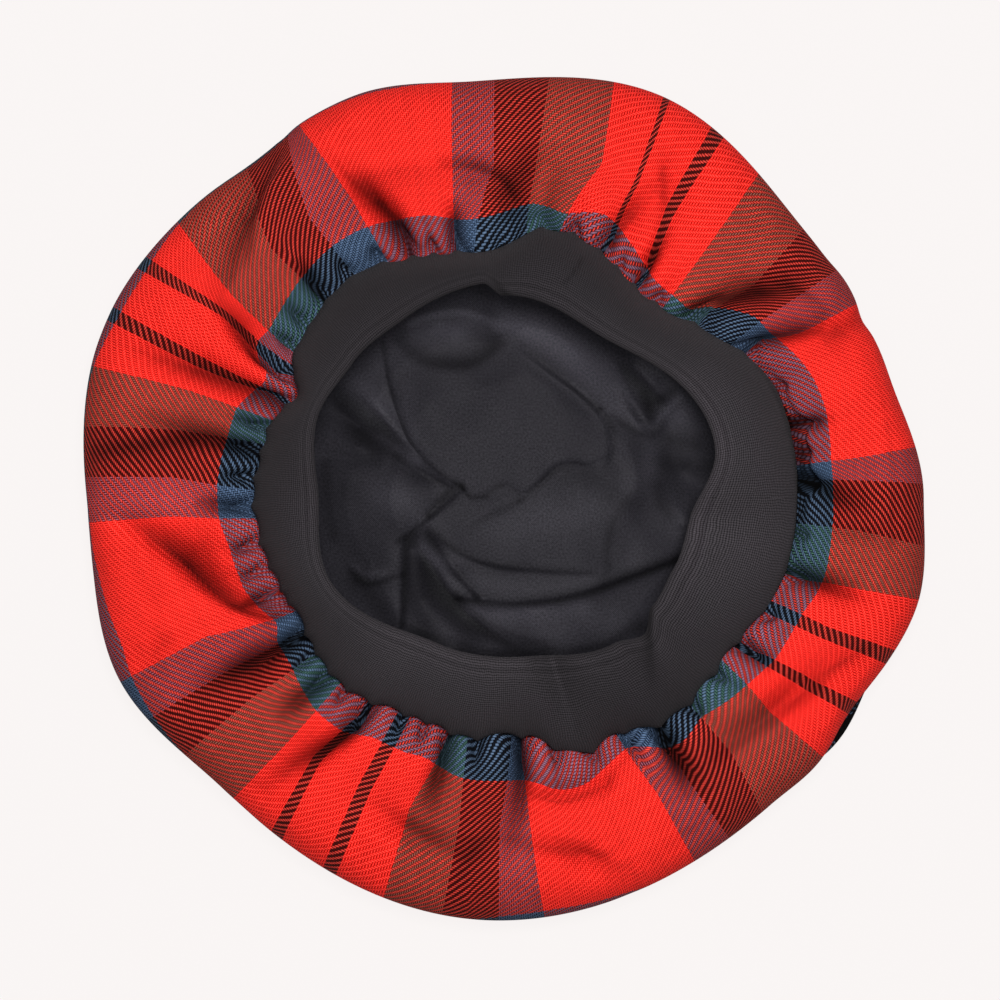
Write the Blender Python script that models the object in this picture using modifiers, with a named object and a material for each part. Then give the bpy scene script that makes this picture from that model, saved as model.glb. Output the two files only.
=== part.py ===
"""Tam o' shanter, lying upside down on its crown with the opening up.

Five sewn pieces, each a closed body of its own: the round crown on the floor, the gathered
tartan strip that rises round it to the headband, the doubled knit headband that leans in and
up, the creased lining bag inside, and the yarn toorie that is pressed up into the crown.

Units are metres, +Z is up, and the origin is on the floor under the middle of the hat.
Tables are in millimetres and degrees, counted from +X towards +Y.
"""

import math

import bmesh
import bpy
import numpy as np

MM = 0.001

# ---------------------------------------------------------------- driving sizes, metres
TARTAN_WALL = 0.0016        # woven cloth with its pile
LINING_WALL = 0.0010
BAND_WALL = 0.0030          # two layers of elastic knit
BAND_WIDTH = 0.0365         # seam to folded free edge, along the knit
BAND_MEAN_RISE = 0.0250     # what the free edge stands over the seam on the average
SEAM_HEIGHT = 0.0332        # where strip, band and lining are sewn together
BAND_LIFT = 0.0020          # the band's lower edge over the strip's turned edge
BAND_SETBACK = 0.0018       # the band's middle inside the seam line
BAND_STATIONS = 6           # across its width
LINING_CLEARANCE = 0.0019   # lining over the crown, middle to middle
LINING_SLACK = 0.0030       # how much higher its loose middle lies

TOORIE_CENTRE = (-0.001, 0.006)
TOORIE_RADIUS = 0.0265
TOORIE_HEIGHT = 0.0260
TOORIE_LOCKS_ROUND = 8      # yarn locks round the toorie
TOORIE_LOCK_RELIEF = 0.055  # share of the radius
DENT_RADIUS = 0.0420        # where the crown leaves the floor round the toorie
DENT_FULLNESS = 3.2         # how flat-topped the pushed-up crown is
DENT_CLEARANCE = 0.0013     # crown over the toorie, to the middle of the cloth
LINING_FOOT_RADIUS = 0.0500  # where the lining leaves the floor of the bag

STRIP_COLUMNS = 120
CROWN_COLUMNS = 60
BAND_COLUMNS = 72
LINING_COLUMNS = 54
TOORIE_COLUMNS = 24
TOORIE_ROWS = 10

# ---------------------------------------------------------------- outlines seen from above
# A row for each crest and trough of the rim: angle, radius about the hat's middle (mm).
RIM_LOBES = [
    (0, 140.7), (20, 134.7), (32, 135.6), (40, 134.8), (70, 144.7), (94, 139.9), (110, 143.7),
    (128, 141.6), (156, 145.7), (186, 139.0), (204, 142.4), (226, 135.3), (268, 141.5),
    (311, 136.2), (324, 139.8), (332, 139.0), (347, 143.2),
]
# The band seam: angle, radius about the seam ring's own middle (mm).
SEAM_CENTRE = (6.5, 2.3)
SEAM_LOBES = [
    (18, 91.7), (56, 77.7), (83, 89.3), (100, 83.0), (131, 92.3), (149, 90.0), (157, 83.3),
    (165, 88.7), (183, 91.3), (209, 87.3), (226, 89.7), (248, 84.7), (256, 85.7), (270, 83.0),
    (283, 91.3), (292, 88.3), (302, 92.0), (323, 88.7), (345, 92.0),
]
# The band's free edge, round the opening: angle, radius about the opening's middle (mm).
OPENING_CENTRE = (3.8, 9.3)
OPENING_LOBES = [
    (6, 66.3), (58, 52.3), (94, 57.5), (100, 62.2), (127, 61.7), (147, 64.0), (166, 67.3),
    (186, 65.3), (211, 71.0), (246, 62.7), (274, 61.7), (300, 66.0), (308, 69.0), (315, 63.8),
    (328, 61.7), (345, 60.0),
]

# ---------------------------------------------------------------- sections
# The strip from its turned edge under the band to the rim: share of the way from the band seam
# to the rim, shift outwards (mm), height (mm).
STRIP_SECTION = [
    (0.00, -3.0, 32.6), (0.00, 0.0, 33.0), (0.08, 0.0, 36.2), (0.20, 0.0, 38.8), (0.38, 0.0, 40.0),
    (0.58, 0.0, 38.6), (0.77, 0.0, 33.2), (0.92, 0.0, 24.6), (1.00, 0.0, 15.5), (1.00, -1.7, 9.0),
]
# How much of the gathers each row of the section takes: none at the two sewn edges.
STRIP_FOLD_SHARES = (0.0, 0.0, 0.5, 1.0, 1.0, 1.0, 1.0, 1.0, 0.5, 0.0)
STRIP_TURN = 0.55           # share of the width past which the cloth turns down
# The crown from the rim seam to the flat that lies on the floor: inset from the rim (mm),
# height (mm), share of the rim's roll that moves it in (negative moves it out).
CROWN_EDGE = [
    (1.8, 8.4, 1.0), (2.6, 5.6, -0.35), (5.6, 2.9, 0.0), (11.0, 1.2, 0.0), (18.0, 0.8, 0.0),
    (48.0, 0.8, 0.0),
]
# Where the crown rolls out past the rim seam and shows from above.
RIM_ROLL_ANGLE = -36.0      # degrees
RIM_ROLL_WIDTH = 11.0       # degrees
RIM_ROLL = 4.2              # mm
RIM_ROLL_RISE = 1.3         # how much the seam climbs for each millimetre that it rolls in
RIM_ROLL_START = 0.5        # share of the strip's width where it begins to follow the seam
# The crown's rings round the toorie, by radius (mm).
CROWN_RINGS = (60.0, 42.0, 36.0, 30.0, 22.0, 11.0, 0.0)
# The lining from the band seam down to the floor of the bag: distance outside the seam, height.
LINING_WALL_SECTION = [(-5.0, 33.4), (-5.2, 28.0), (0.0, 20.0), (4.0, 11.0), (0.5, 4.6), (-10.0, 2.7)]
LINING_FLOOR_SHARES = (0.87, 0.75, 0.63, 0.51, 0.39, 0.26, 0.13, 0.0)

# ---------------------------------------------------------------- folds
# Gathers of the strip. A row for each: angle and radius where it starts, angle and radius where
# it dies out, depth (mm, negative stands proud), half width (mm).
STRIP_FOLDS = [
    (12.0, 97, -14.0, 96, 3.5, 3.0),
    (111.5, 86, 114, 122, 6.0, 5.0),
    (100.0, 84, 100, 96, 3.0, 3.5),
    (91.0, 90, 86, 112, 2.5, 5.0),
    (68.6, 86, 67, 98, 3.0, 3.5),
    (58.0, 80, 59, 94, 3.0, 3.5),
    (43.0, 90, 33, 124, 3.0, 6.0),
    (31.0, 96, 28, 130, 2.5, 5.0),
    (14.8, 96, 14, 108, 2.5, 3.5),
    (3.5, 100, 0, 132, 2.0, 6.0),
    (-15.0, 98, -14, 120, 2.0, 5.0),
    (-30.0, 100, -25, 132, 2.5, 6.0),
    (-40.0, 96, -37, 118, 2.5, 4.5),
    (-56.0, 94, -55, 120, 3.0, 5.0),
    (-73.0, 90, -80, 106, 3.5, 4.5),
    (-87.0, 78, -86, 112, 4.5, 4.5),
    (-101.0, 82, -105, 110, 4.0, 4.5),
    (-123.0, 88, -130, 126, 4.5, 5.0),
    (-135.0, 86, -136, 98, 3.0, 4.0),
    (-147.0, 88, -149, 132, 3.5, 6.0),
    (-160.0, 92, -176, 128, 7.5, 8.0),
    (-152.0, 92, -169, 126, -3.0, 4.5),
    (167.0, 86, 168, 106, 4.5, 4.5),
    (181.0, 86, 181, 98, 2.5, 4.0),
    (155.5, 84, 157, 132, 5.0, 5.0),
    (144.0, 98, 146, 112, -2.5, 5.0),
    (130.0, 88, 130, 100, 3.0, 3.5),
    (142.0, 108, 120, 138, 3.5, 8.0),
]
# Creases of the lining. A row for each: start x, y, end x, y, height (negative is a furrow),
# half width (mm).
LINING_FOLDS = [
    (-7, -31, 22, -33, 8.0, 8.0),
    (22, -33, 54, -20, 8.0, 8.0),
    (-25, -12, -7, -31, 8.0, 7.0),
    (22, 38, 37, 16, 6.0, 8.0),
    (36, 12, 2, -2, 5.0, 7.0),
    (-41, 52, -19, 6, -5.0, 6.0),
    (-37, 21, -17, 3, 7.0, 7.0),
    (-15, 3, -35, -14, 7.0, 7.0),
    (-35, -16, -35, -42, -5.0, 7.0),
    (-30, 48, -6, 50, 6.0, 9.0),
    (40, 34, 54, 26, 6.0, 7.0),
    (38, -6, 37, -22, 5.0, 7.0),
]


# ---------------------------------------------------------------- curves and rings
def eased(rows, angles):
    """A closed curve through crest and trough rows, level at each of them."""
    stations = np.array([row[0] for row in rows] + [rows[0][0] + 360.0])
    values = np.array([row[1] for row in rows] + [rows[0][1]])
    wanted = np.mod(np.asarray(angles) - stations[0], 360.0) + stations[0]
    index = np.clip(np.searchsorted(stations, wanted, side="right") - 1, 0, len(rows) - 1)
    share = (wanted - stations[index]) / (stations[index + 1] - stations[index])
    share = share * share * (3.0 - 2.0 * share)
    return values[index] + (values[index + 1] - values[index]) * share


def ring(rows, centre):
    """The radius about the hat's middle, by angle, of an outline measured about its own."""
    turn = np.arange(0.0, 360.0, 0.5)
    reach = eased(rows, turn)
    x = centre[0] + reach * np.cos(np.radians(turn))
    y = centre[1] + reach * np.sin(np.radians(turn))
    bearing = np.degrees(np.arctan2(y, x))
    radius = np.hypot(x, y) * MM
    return lambda angle: float(np.interp(angle, bearing, radius, period=360.0))


rim_radius = ring(RIM_LOBES, (0.0, 0.0))
seam_radius = ring(SEAM_LOBES, SEAM_CENTRE)
opening_radius = ring(OPENING_LOBES, OPENING_CENTRE)


def rim_roll(angle):
    """How far the rim seam lies inside the outline, where the crown rolls out past it."""
    away = (angle - RIM_ROLL_ANGLE + 180.0) % 360.0 - 180.0
    return RIM_ROLL * MM * math.exp(-(away / RIM_ROLL_WIDTH) ** 2)


def polar(angle, radius):
    """The plan position at an angle in degrees."""
    return radius * math.cos(math.radians(angle)), radius * math.sin(math.radians(angle))


def fold_height(x, y, folds):
    """The sum of the straight folds at a point: full along its line, faded to nothing aside."""
    total = 0.0
    for start_x, start_y, end_x, end_y, height, half_width in folds:
        run_x, run_y = end_x - start_x, end_y - start_y
        along = ((x - start_x) * run_x + (y - start_y) * run_y) / (run_x ** 2 + run_y ** 2)
        nearest = min(max(along, 0.0), 1.0)
        aside = math.hypot(x - start_x - nearest * run_x, y - start_y - nearest * run_y)
        total += height * math.exp(-(aside / half_width) ** 2)
    return total


def strip_folds():
    """The strip's gathers as straight plan lines in metres, valleys counted down."""
    lines = []
    for start_angle, start_radius, end_angle, end_radius, depth, half_width in STRIP_FOLDS:
        start = polar(start_angle, start_radius * MM)
        end = polar(end_angle, end_radius * MM)
        lines.append((*start, *end, -depth * MM, half_width * MM))
    return lines


STRIP_LINES = strip_folds()
LINING_LINES = [tuple(value * MM for value in row) for row in LINING_FOLDS]


# ---------------------------------------------------------------- the sewn surfaces
def strip_point(angle, row):
    """The middle of the strip's cloth at an angle, on a row of its section."""
    share, shift, height = STRIP_SECTION[row]
    seam, rim = seam_radius(angle), rim_radius(angle)
    roll = rim_roll(angle) * max(share - RIM_ROLL_START, 0.0) / (1.0 - RIM_ROLL_START)
    radius = seam + (rim - seam) * share + shift * MM - roll
    x, y = polar(angle, radius)
    fold = STRIP_FOLD_SHARES[row] * fold_height(x, y, STRIP_LINES)
    outward = max(share - STRIP_TURN, 0.0) / (1.0 - STRIP_TURN)
    x, y = polar(angle, radius + 0.5 * fold * outward)
    return x, y, height * MM + fold * (1.0 - 0.6 * outward) + roll * RIM_ROLL_RISE


def dome_height(x, y, foot_radius=DENT_RADIUS):
    """The middle of the crown's cloth where it lies on the floor and over the toorie."""
    flat = 0.5 * TARTAN_WALL
    top = TOORIE_HEIGHT + DENT_CLEARANCE
    away = math.hypot(x - TOORIE_CENTRE[0], y - TOORIE_CENTRE[1]) / foot_radius
    if away >= 1.0:
        return flat
    share = 1.0 - away ** DENT_FULLNESS
    return flat + (top - flat) * share * share * (3.0 - 2.0 * share)


def crown_point(angle, row):
    """The middle of the crown's cloth: its edge rows, then rings that close over the toorie."""
    if row < len(CROWN_EDGE):
        inset, height, roll_share = CROWN_EDGE[row]
        roll = rim_roll(angle) * roll_share
        x, y = polar(angle, rim_radius(angle) - inset * MM - roll)
        return x, y, height * MM + abs(roll) * RIM_ROLL_RISE
    x, y = polar(angle, CROWN_RINGS[row - len(CROWN_EDGE)] * MM)
    x, y = x + TOORIE_CENTRE[0], y + TOORIE_CENTRE[1]
    return x, y, dome_height(x, y)


def lining_point(angle, row):
    """The middle of the lining: the wall of the bag, then its creased floor."""
    if row < len(LINING_WALL_SECTION):
        outside, height = LINING_WALL_SECTION[row]
        x, y = polar(angle, seam_radius(angle) + outside * MM)
        return x, y, height * MM
    floor_radius = seam_radius(angle) + LINING_WALL_SECTION[-1][0] * MM
    share = LINING_FLOOR_SHARES[row - len(LINING_WALL_SECTION)]
    x, y = polar(angle, floor_radius * share)
    slack = 1.0 - share ** 6
    crease = fold_height(x, y, LINING_LINES) * slack
    over_crown = dome_height(x, y, LINING_FOOT_RADIUS) + LINING_CLEARANCE
    return x, y, over_crown + slack * LINING_SLACK + max(crease, -0.8 * slack * LINING_SLACK)


def band_section(plan_width):
    """The band cut across: inset from the seam line and height, once round its closed edge."""
    upright = math.sqrt(max(BAND_WIDTH ** 2 - plan_width ** 2, 0.0))
    rise = 0.5 * (upright + BAND_MEAN_RISE)
    reach = plan_width - BAND_SETBACK - 0.5 * BAND_WALL
    middle = []
    for share in np.linspace(0.0, 1.0, BAND_STATIONS):
        inset = BAND_SETBACK + reach * share ** 1.3
        height = SEAM_HEIGHT + BAND_LIFT + rise * math.sin(0.5 * math.pi * share) ** 0.9
        middle.append(np.array((inset, height)))
    outer, inner = [], []
    for index, point in enumerate(middle):
        before = middle[max(index - 1, 0)]
        after = middle[min(index + 1, len(middle) - 1)]
        along = (after - before) / np.linalg.norm(after - before)
        across = np.array((-along[1], along[0])) * 0.5 * BAND_WALL
        outer.append(point + across)
        inner.append(point - across)
    along = (middle[-1] - middle[-2]) / np.linalg.norm(middle[-1] - middle[-2])
    fold = [middle[-1] + along * 0.4 * BAND_WALL]
    return outer + fold + inner[::-1]


# ---------------------------------------------------------------- making the bodies
def plain_material(name, colour, roughness):
    """A matt cloth material."""
    material = bpy.data.materials.new(name)
    material.use_nodes = True
    shader = material.node_tree.nodes["Principled BSDF"]
    shader.inputs["Base Color"].default_value = (*colour, 1.0)
    shader.inputs["Roughness"].default_value = roughness
    shader.inputs["Metallic"].default_value = 0.0
    material.diffuse_color = (*colour, 1.0)
    return material


def add_object(name, mesh, material, collection):
    """A smooth-shaded object of a finished bmesh."""
    data = bpy.data.meshes.new(name)
    mesh.to_mesh(data)
    mesh.free()
    data.shade_smooth()
    data.materials.append(material)
    body = bpy.data.objects.new(name, data)
    collection.objects.link(body)
    return body


def wrapped_grid(columns, rows, place, closed=False):
    """A grid wrapped once round the hat, its points placed by angle and row."""
    mesh = bmesh.new()
    bmesh.ops.create_grid(mesh, x_segments=columns, y_segments=rows, size=1.0)
    for vertex in mesh.verts:
        angle = 360.0 * round((vertex.co.x + 1.0) / 2.0 * columns) / columns
        row = round((vertex.co.y + 1.0) / 2.0 * rows)
        vertex.co = place(angle, row % rows if closed else row)
    bmesh.ops.remove_doubles(mesh, verts=mesh.verts, dist=1e-6)
    bmesh.ops.recalc_face_normals(mesh, faces=mesh.faces)
    return mesh


def cloth_wall(name, columns, rows, place, thickness, material, collection):
    """An open sheet wrapped round the hat and given its thickness."""
    body = add_object(name, wrapped_grid(columns, rows - 1, place), material, collection)
    wall = body.modifiers.new("wall", "SOLIDIFY")
    wall.thickness = thickness
    wall.offset = 0.0
    wall.use_even_offset = True
    return body


def add_headband(material, collection):
    """The doubled band as one closed ring, lofted through its sections."""
    sections = {}

    def place(angle, row):
        seam = seam_radius(angle)
        if angle not in sections:
            sections[angle] = band_section(seam - opening_radius(angle))
        inset, height = sections[angle][row]
        return (*polar(angle, seam - inset), height)

    rows = len(band_section(0.02))
    return add_object("headband", wrapped_grid(BAND_COLUMNS, rows, place, closed=True), material, collection)


def add_toorie(material, collection):
    """A flattened yarn ball whose surface is parted into locks."""
    mesh = bmesh.new()
    bmesh.ops.create_uvsphere(mesh, u_segments=TOORIE_COLUMNS, v_segments=TOORIE_ROWS, radius=1.0)
    for vertex in mesh.verts:
        bearing = math.atan2(vertex.co.y, vertex.co.x)
        climb = math.asin(max(-1.0, min(1.0, vertex.co.z)))
        lock = math.cos(TOORIE_LOCKS_ROUND * bearing) * math.cos(0.5 * TOORIE_ROWS * climb)
        spread = 1.0 - TOORIE_LOCK_RELIEF + TOORIE_LOCK_RELIEF * lock
        vertex.co.x = vertex.co.x * spread * TOORIE_RADIUS + TOORIE_CENTRE[0]
        vertex.co.y = vertex.co.y * spread * TOORIE_RADIUS + TOORIE_CENTRE[1]
        vertex.co.z = (vertex.co.z + 1.0) * 0.5 * TOORIE_HEIGHT
    return add_object("toorie", mesh, material, collection)


def build():
    """Clear the scene and make the five pieces."""
    for leftover in list(bpy.data.objects):
        bpy.data.objects.remove(leftover)
    hat = bpy.data.collections.new("tam_o_shanter")
    bpy.context.scene.collection.children.link(hat)

    tartan = plain_material("red_tartan", (0.62, 0.07, 0.05), 0.85)
    crown_tartan = plain_material("crown_tartan", (0.62, 0.07, 0.05), 0.85)
    knit = plain_material("black_knit", (0.026, 0.023, 0.024), 0.9)
    bag = plain_material("black_lining", (0.034, 0.034, 0.037), 0.7)
    yarn = plain_material("red_yarn", (0.65, 0.05, 0.04), 0.9)

    cloth_wall("under_panel", STRIP_COLUMNS, len(STRIP_SECTION), strip_point, TARTAN_WALL, tartan, hat)
    crown_rows = len(CROWN_EDGE) + len(CROWN_RINGS)
    cloth_wall("crown_top", CROWN_COLUMNS, crown_rows, crown_point, TARTAN_WALL, crown_tartan, hat)
    lining_rows = len(LINING_WALL_SECTION) + len(LINING_FLOOR_SHARES)
    cloth_wall("lining", LINING_COLUMNS, lining_rows, lining_point, LINING_WALL, bag, hat)
    add_headband(knit, hat)
    add_toorie(yarn, hat)


build()
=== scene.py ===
"""Tam o' shanter of red tartan, lying upside down on its crown.

Laid out as an add-on and run as a script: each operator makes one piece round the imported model,
and main() calls them in order. Metres, +Z up; tables are in millimetres and degrees, counted
from +X towards +Y. Cloth is measured in threads, which the tartan's material reads.
"""

import bpy
import numpy as np
from bpy.props import FloatProperty, FloatVectorProperty, IntProperty, PointerProperty
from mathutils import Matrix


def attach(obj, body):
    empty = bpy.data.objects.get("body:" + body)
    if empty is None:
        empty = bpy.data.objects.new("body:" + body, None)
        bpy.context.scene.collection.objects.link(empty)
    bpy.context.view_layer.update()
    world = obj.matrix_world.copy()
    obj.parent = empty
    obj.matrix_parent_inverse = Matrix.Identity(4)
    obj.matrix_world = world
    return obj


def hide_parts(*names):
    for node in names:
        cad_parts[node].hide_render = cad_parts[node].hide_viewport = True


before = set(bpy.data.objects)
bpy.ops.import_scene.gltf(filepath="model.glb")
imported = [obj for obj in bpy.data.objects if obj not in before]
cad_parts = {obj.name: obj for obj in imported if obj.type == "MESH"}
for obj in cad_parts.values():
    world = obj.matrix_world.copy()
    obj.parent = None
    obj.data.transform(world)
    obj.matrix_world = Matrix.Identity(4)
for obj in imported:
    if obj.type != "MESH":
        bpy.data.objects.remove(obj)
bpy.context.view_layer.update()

bl_info = {
    "name": "Tam o' Shanter",
    "version": (1, 0, 0),
    "blender": (4, 5, 0),
    "location": "View3D > Sidebar > Tam",
    "description": "Dresses the tam o' shanter in gathered tartan, knit and lining",
    "category": "Object",
}

MM = 0.001

# ------------------------------------------------------------------ outlines seen from above
# A row for each crest and trough of the rim: angle, radius about the hat's middle.
RIM_LOBES = [
    (0, 140.7), (20, 134.7), (32, 135.6), (40, 134.8), (70, 144.7), (94, 139.9), (110, 143.7),
    (128, 141.6), (156, 145.7), (186, 139.0), (204, 142.4), (226, 135.3), (268, 141.5),
    (311, 136.2), (324, 139.8), (332, 139.0), (347, 143.2),
]
# The band seam: angle, radius about the seam ring's own middle.
SEAM_CENTRE = (6.5, 2.3)
SEAM_LOBES = [
    (18, 91.7), (56, 77.7), (83, 89.3), (100, 83.0), (131, 92.3), (149, 90.0), (157, 83.3),
    (165, 88.7), (183, 91.3), (209, 87.3), (226, 89.7), (248, 84.7), (256, 85.7), (270, 83.0),
    (283, 91.3), (292, 88.3), (302, 92.0), (323, 88.7), (345, 92.0),
]
# The band's free edge, round the opening: angle, radius about the opening's middle.
OPENING_CENTRE = (3.8, 9.3)
OPENING_LOBES = [
    (6, 66.3), (58, 52.3), (94, 57.5), (100, 62.2), (127, 61.7), (147, 64.0), (166, 67.3),
    (186, 65.3), (211, 71.0), (246, 62.7), (274, 61.7), (300, 66.0), (308, 69.0), (315, 63.8),
    (328, 61.7), (345, 60.0),
]
# Where the crown rolls out past the rim seam and shows from above: angle, half width, roll.
RIM_ROLL = (-33.5, 6.5, 3.6)
RIM_ROLL_RISE = 1.3

# ------------------------------------------------------------------ sections
# The strip from its turned edge under the band to the rim: share of the way from the band seam
# to the rim, shift outwards, height.
STRIP_SECTION = [
    (0.00, -3.0, 32.6), (0.00, 0.0, 33.0), (0.08, 0.0, 36.2), (0.20, 0.0, 38.8), (0.38, 0.0, 40.0),
    (0.58, 0.0, 39.4), (0.76, 0.0, 36.2), (0.90, 0.0, 30.4), (0.975, 0.0, 23.4), (1.00, 0.0, 15.8),
    (1.00, -1.7, 9.0),
]
SEAM_MEAN, RIM_MEAN = 88.0, 139.0    # mean radii of the band seam and the rim
RING_WIDTH = RIM_MEAN - SEAM_MEAN
# Shares of its length within which the strip's folds grow out of the band seam and die out at the
# rim, and within which its ripples die out.
FOLDS_GROW, FOLDS_END, RIPPLES_END = (0.01, 0.07), (1.0, 0.88), (0.8, 0.6)
# The crown from the rim seam to its flat: inset from the rim, height, share of the roll.
CROWN_EDGE = [
    (1.8, 8.4, 1.0), (2.6, 5.6, -0.35), (5.6, 2.9, 0.0), (11.0, 1.2, 0.0), (18.0, 0.8, 0.0),
    (48.0, 0.8, 0.0),
]
# The lining from the band seam down to the floor of the bag: distance outside the seam, height.
LINING_WALL = [(-5.0, 37.4), (-5.2, 29.0), (0.0, 20.0), (4.0, 11.0), (0.5, 4.6), (-10.0, 2.7)]
# How its rows are spread over its floor: share of the rows, share of the way in from the wall.
LINING_ROWS = [(0.0, 0.0), (0.08, 0.1), (0.94, 0.9), (1.0, 1.0)]
# The lining's floor, pushed up by the toorie: share of the way out to the wall's foot, height.
LINING_SLOPE = [(0.0, 32.0), (0.3, 31.5), (0.5, 28.0), (0.7, 21.0), (0.85, 12.0), (1.0, 2.7)]

# ------------------------------------------------------------------ the pushed-up crown, in metres
TOORIE_CENTRE = (-0.001, 0.006)
TOORIE_RADIUS = 0.0265
TOORIE_HEIGHT = 0.0260
TOORIE_SURFACE = 0.004092    # area of its core, in square metres
YARN_END = 0.0045            # how far the yarn ends stand out of the core
YARN_REST = 0.0003           # height at which the yarn ends lie flat on the floor
DENT_RADIUS = 0.0420         # where the crown leaves the floor to go over the toorie
DENT_CLEARANCE = 0.0013      # from the top of the toorie to the middle of the crown's cloth
DENT_FULLNESS = 3.2          # how square the dent's shoulders are
LINING_CLEARANCE = 0.0019    # from the middle of the crown's cloth to the lining's good face

# ------------------------------------------------------------------ the band, in metres
SEAM_HEIGHT = 0.0332
BAND_LIFT = 0.0020           # how far the band's foot stands above the seam
BAND_SETBACK = 0.0018        # and how far inside it
BAND_WIDTH = 0.0365          # from foot to fold
BAND_MEAN_RISE = 0.0250      # the rise from foot to fold is evened out halfway to this
BAND_ARCH = (1.3, 0.9)       # how its section curves: inwards, then upwards
BAND_MEAN_RADIUS = 0.078
BAND_RIDGES = (0.0016, 0.0046)    # how far from the fold two fine ridges run
BAND_RIDGE_WIDTH = 0.0008
BAND_RIDGE_HEIGHT = 0.00015
# Painted shade: how much darker than its brightest part, at the right, the band is by angle; and
# its own painted shades, with paths in (x, y), in rows like those of the folds.
BAND_SIDE_SHADES = [
    (0, 0.05), (20, 0.18), (35, 0.28), (60, 0.38), (100, 0.52), (180, 0.36), (240, 0.18), (270, 0.18),
    (300, 0.46), (330, 0.25),
]
BAND_SHADES = [
    (((48.2, -31), (48.4, -46), (49.5, -62)), 0.75, 0.55, 0.1, 1.2, 2.6, 1.0, 2.0),
    (((26.5, 80), (23.5, 75), (20.3, 71)), 0.3, 0.4, 0.3, 0.6, 0.6, 1.0, 2.0),
    (((-3.2, 71.5), (-0.5, 68.5), (2.2, 66)), 0.2, 0.5, 0.6, 1.0, 1.6, 1.0, 2.0),
    (((91.5, -29.7), (96.4, -15.3), (98.2, 0), (96.8, 15.3), (92.5, 30.1), (85.4, 43.5)),
     0.3, 0.9, 0.3, 0.9, 0.9, 1.0, 2.0),
]

# ------------------------------------------------------------------ the gathers
# A fold that begins inside this radius, and is more than this deep there, is a gather.
GATHER_START, GATHER_LEAST = 96.0, 3.5
# Degrees of cloth that a gather swallows at the band for each mm of its depth, how many degrees
# more that is spread over at its far end, and the share of it that is let out by then.
GATHER_SWALLOW, GATHER_FAN, GATHER_FADE = 0.6, 2.6, 0.9
GATHER_SHADE_WIDTH = 0.55           # width of the painted shade in a gather's crease against the width of the crease
GATHER_SHADE_DEPTH = 14.0           # depth in mm at which that painted shade would be black
PUFF_FULL = 9.0              # degrees between two gathers for the cloth to puff up fully
PUFF_ROUNDNESS = 2.4
PUFF_REACH = 0.013           # how far from the band seam a puff dies out
PUFF_PUSH = 0.0026           # how far it pushes the seam and the foot of the band inwards
PUSH_REACH = (0.006, 0.0015)    # how far that is felt, outside the seam and inside it
PUFF_LIGHT = 0.32            # painted light: how much lighter the crest of a puff is than the cloth beside it
PUFF_CREST = (0.003, 0.007)  # how far outside the seam that painted light's crest lies, and its width
# How full the puffs are, by angle.
PUFF_SIZES = [
    (-22, 0.1), (27, 0.1), (34, 0.5), (60, 0.8), (96, 1.1), (112, 1.1), (120, 0.3), (145, 0.3), (153, 1.1),
    (180, 0.8), (270, 1.0), (300, 0.9), (330, 0.8),
]

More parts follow.
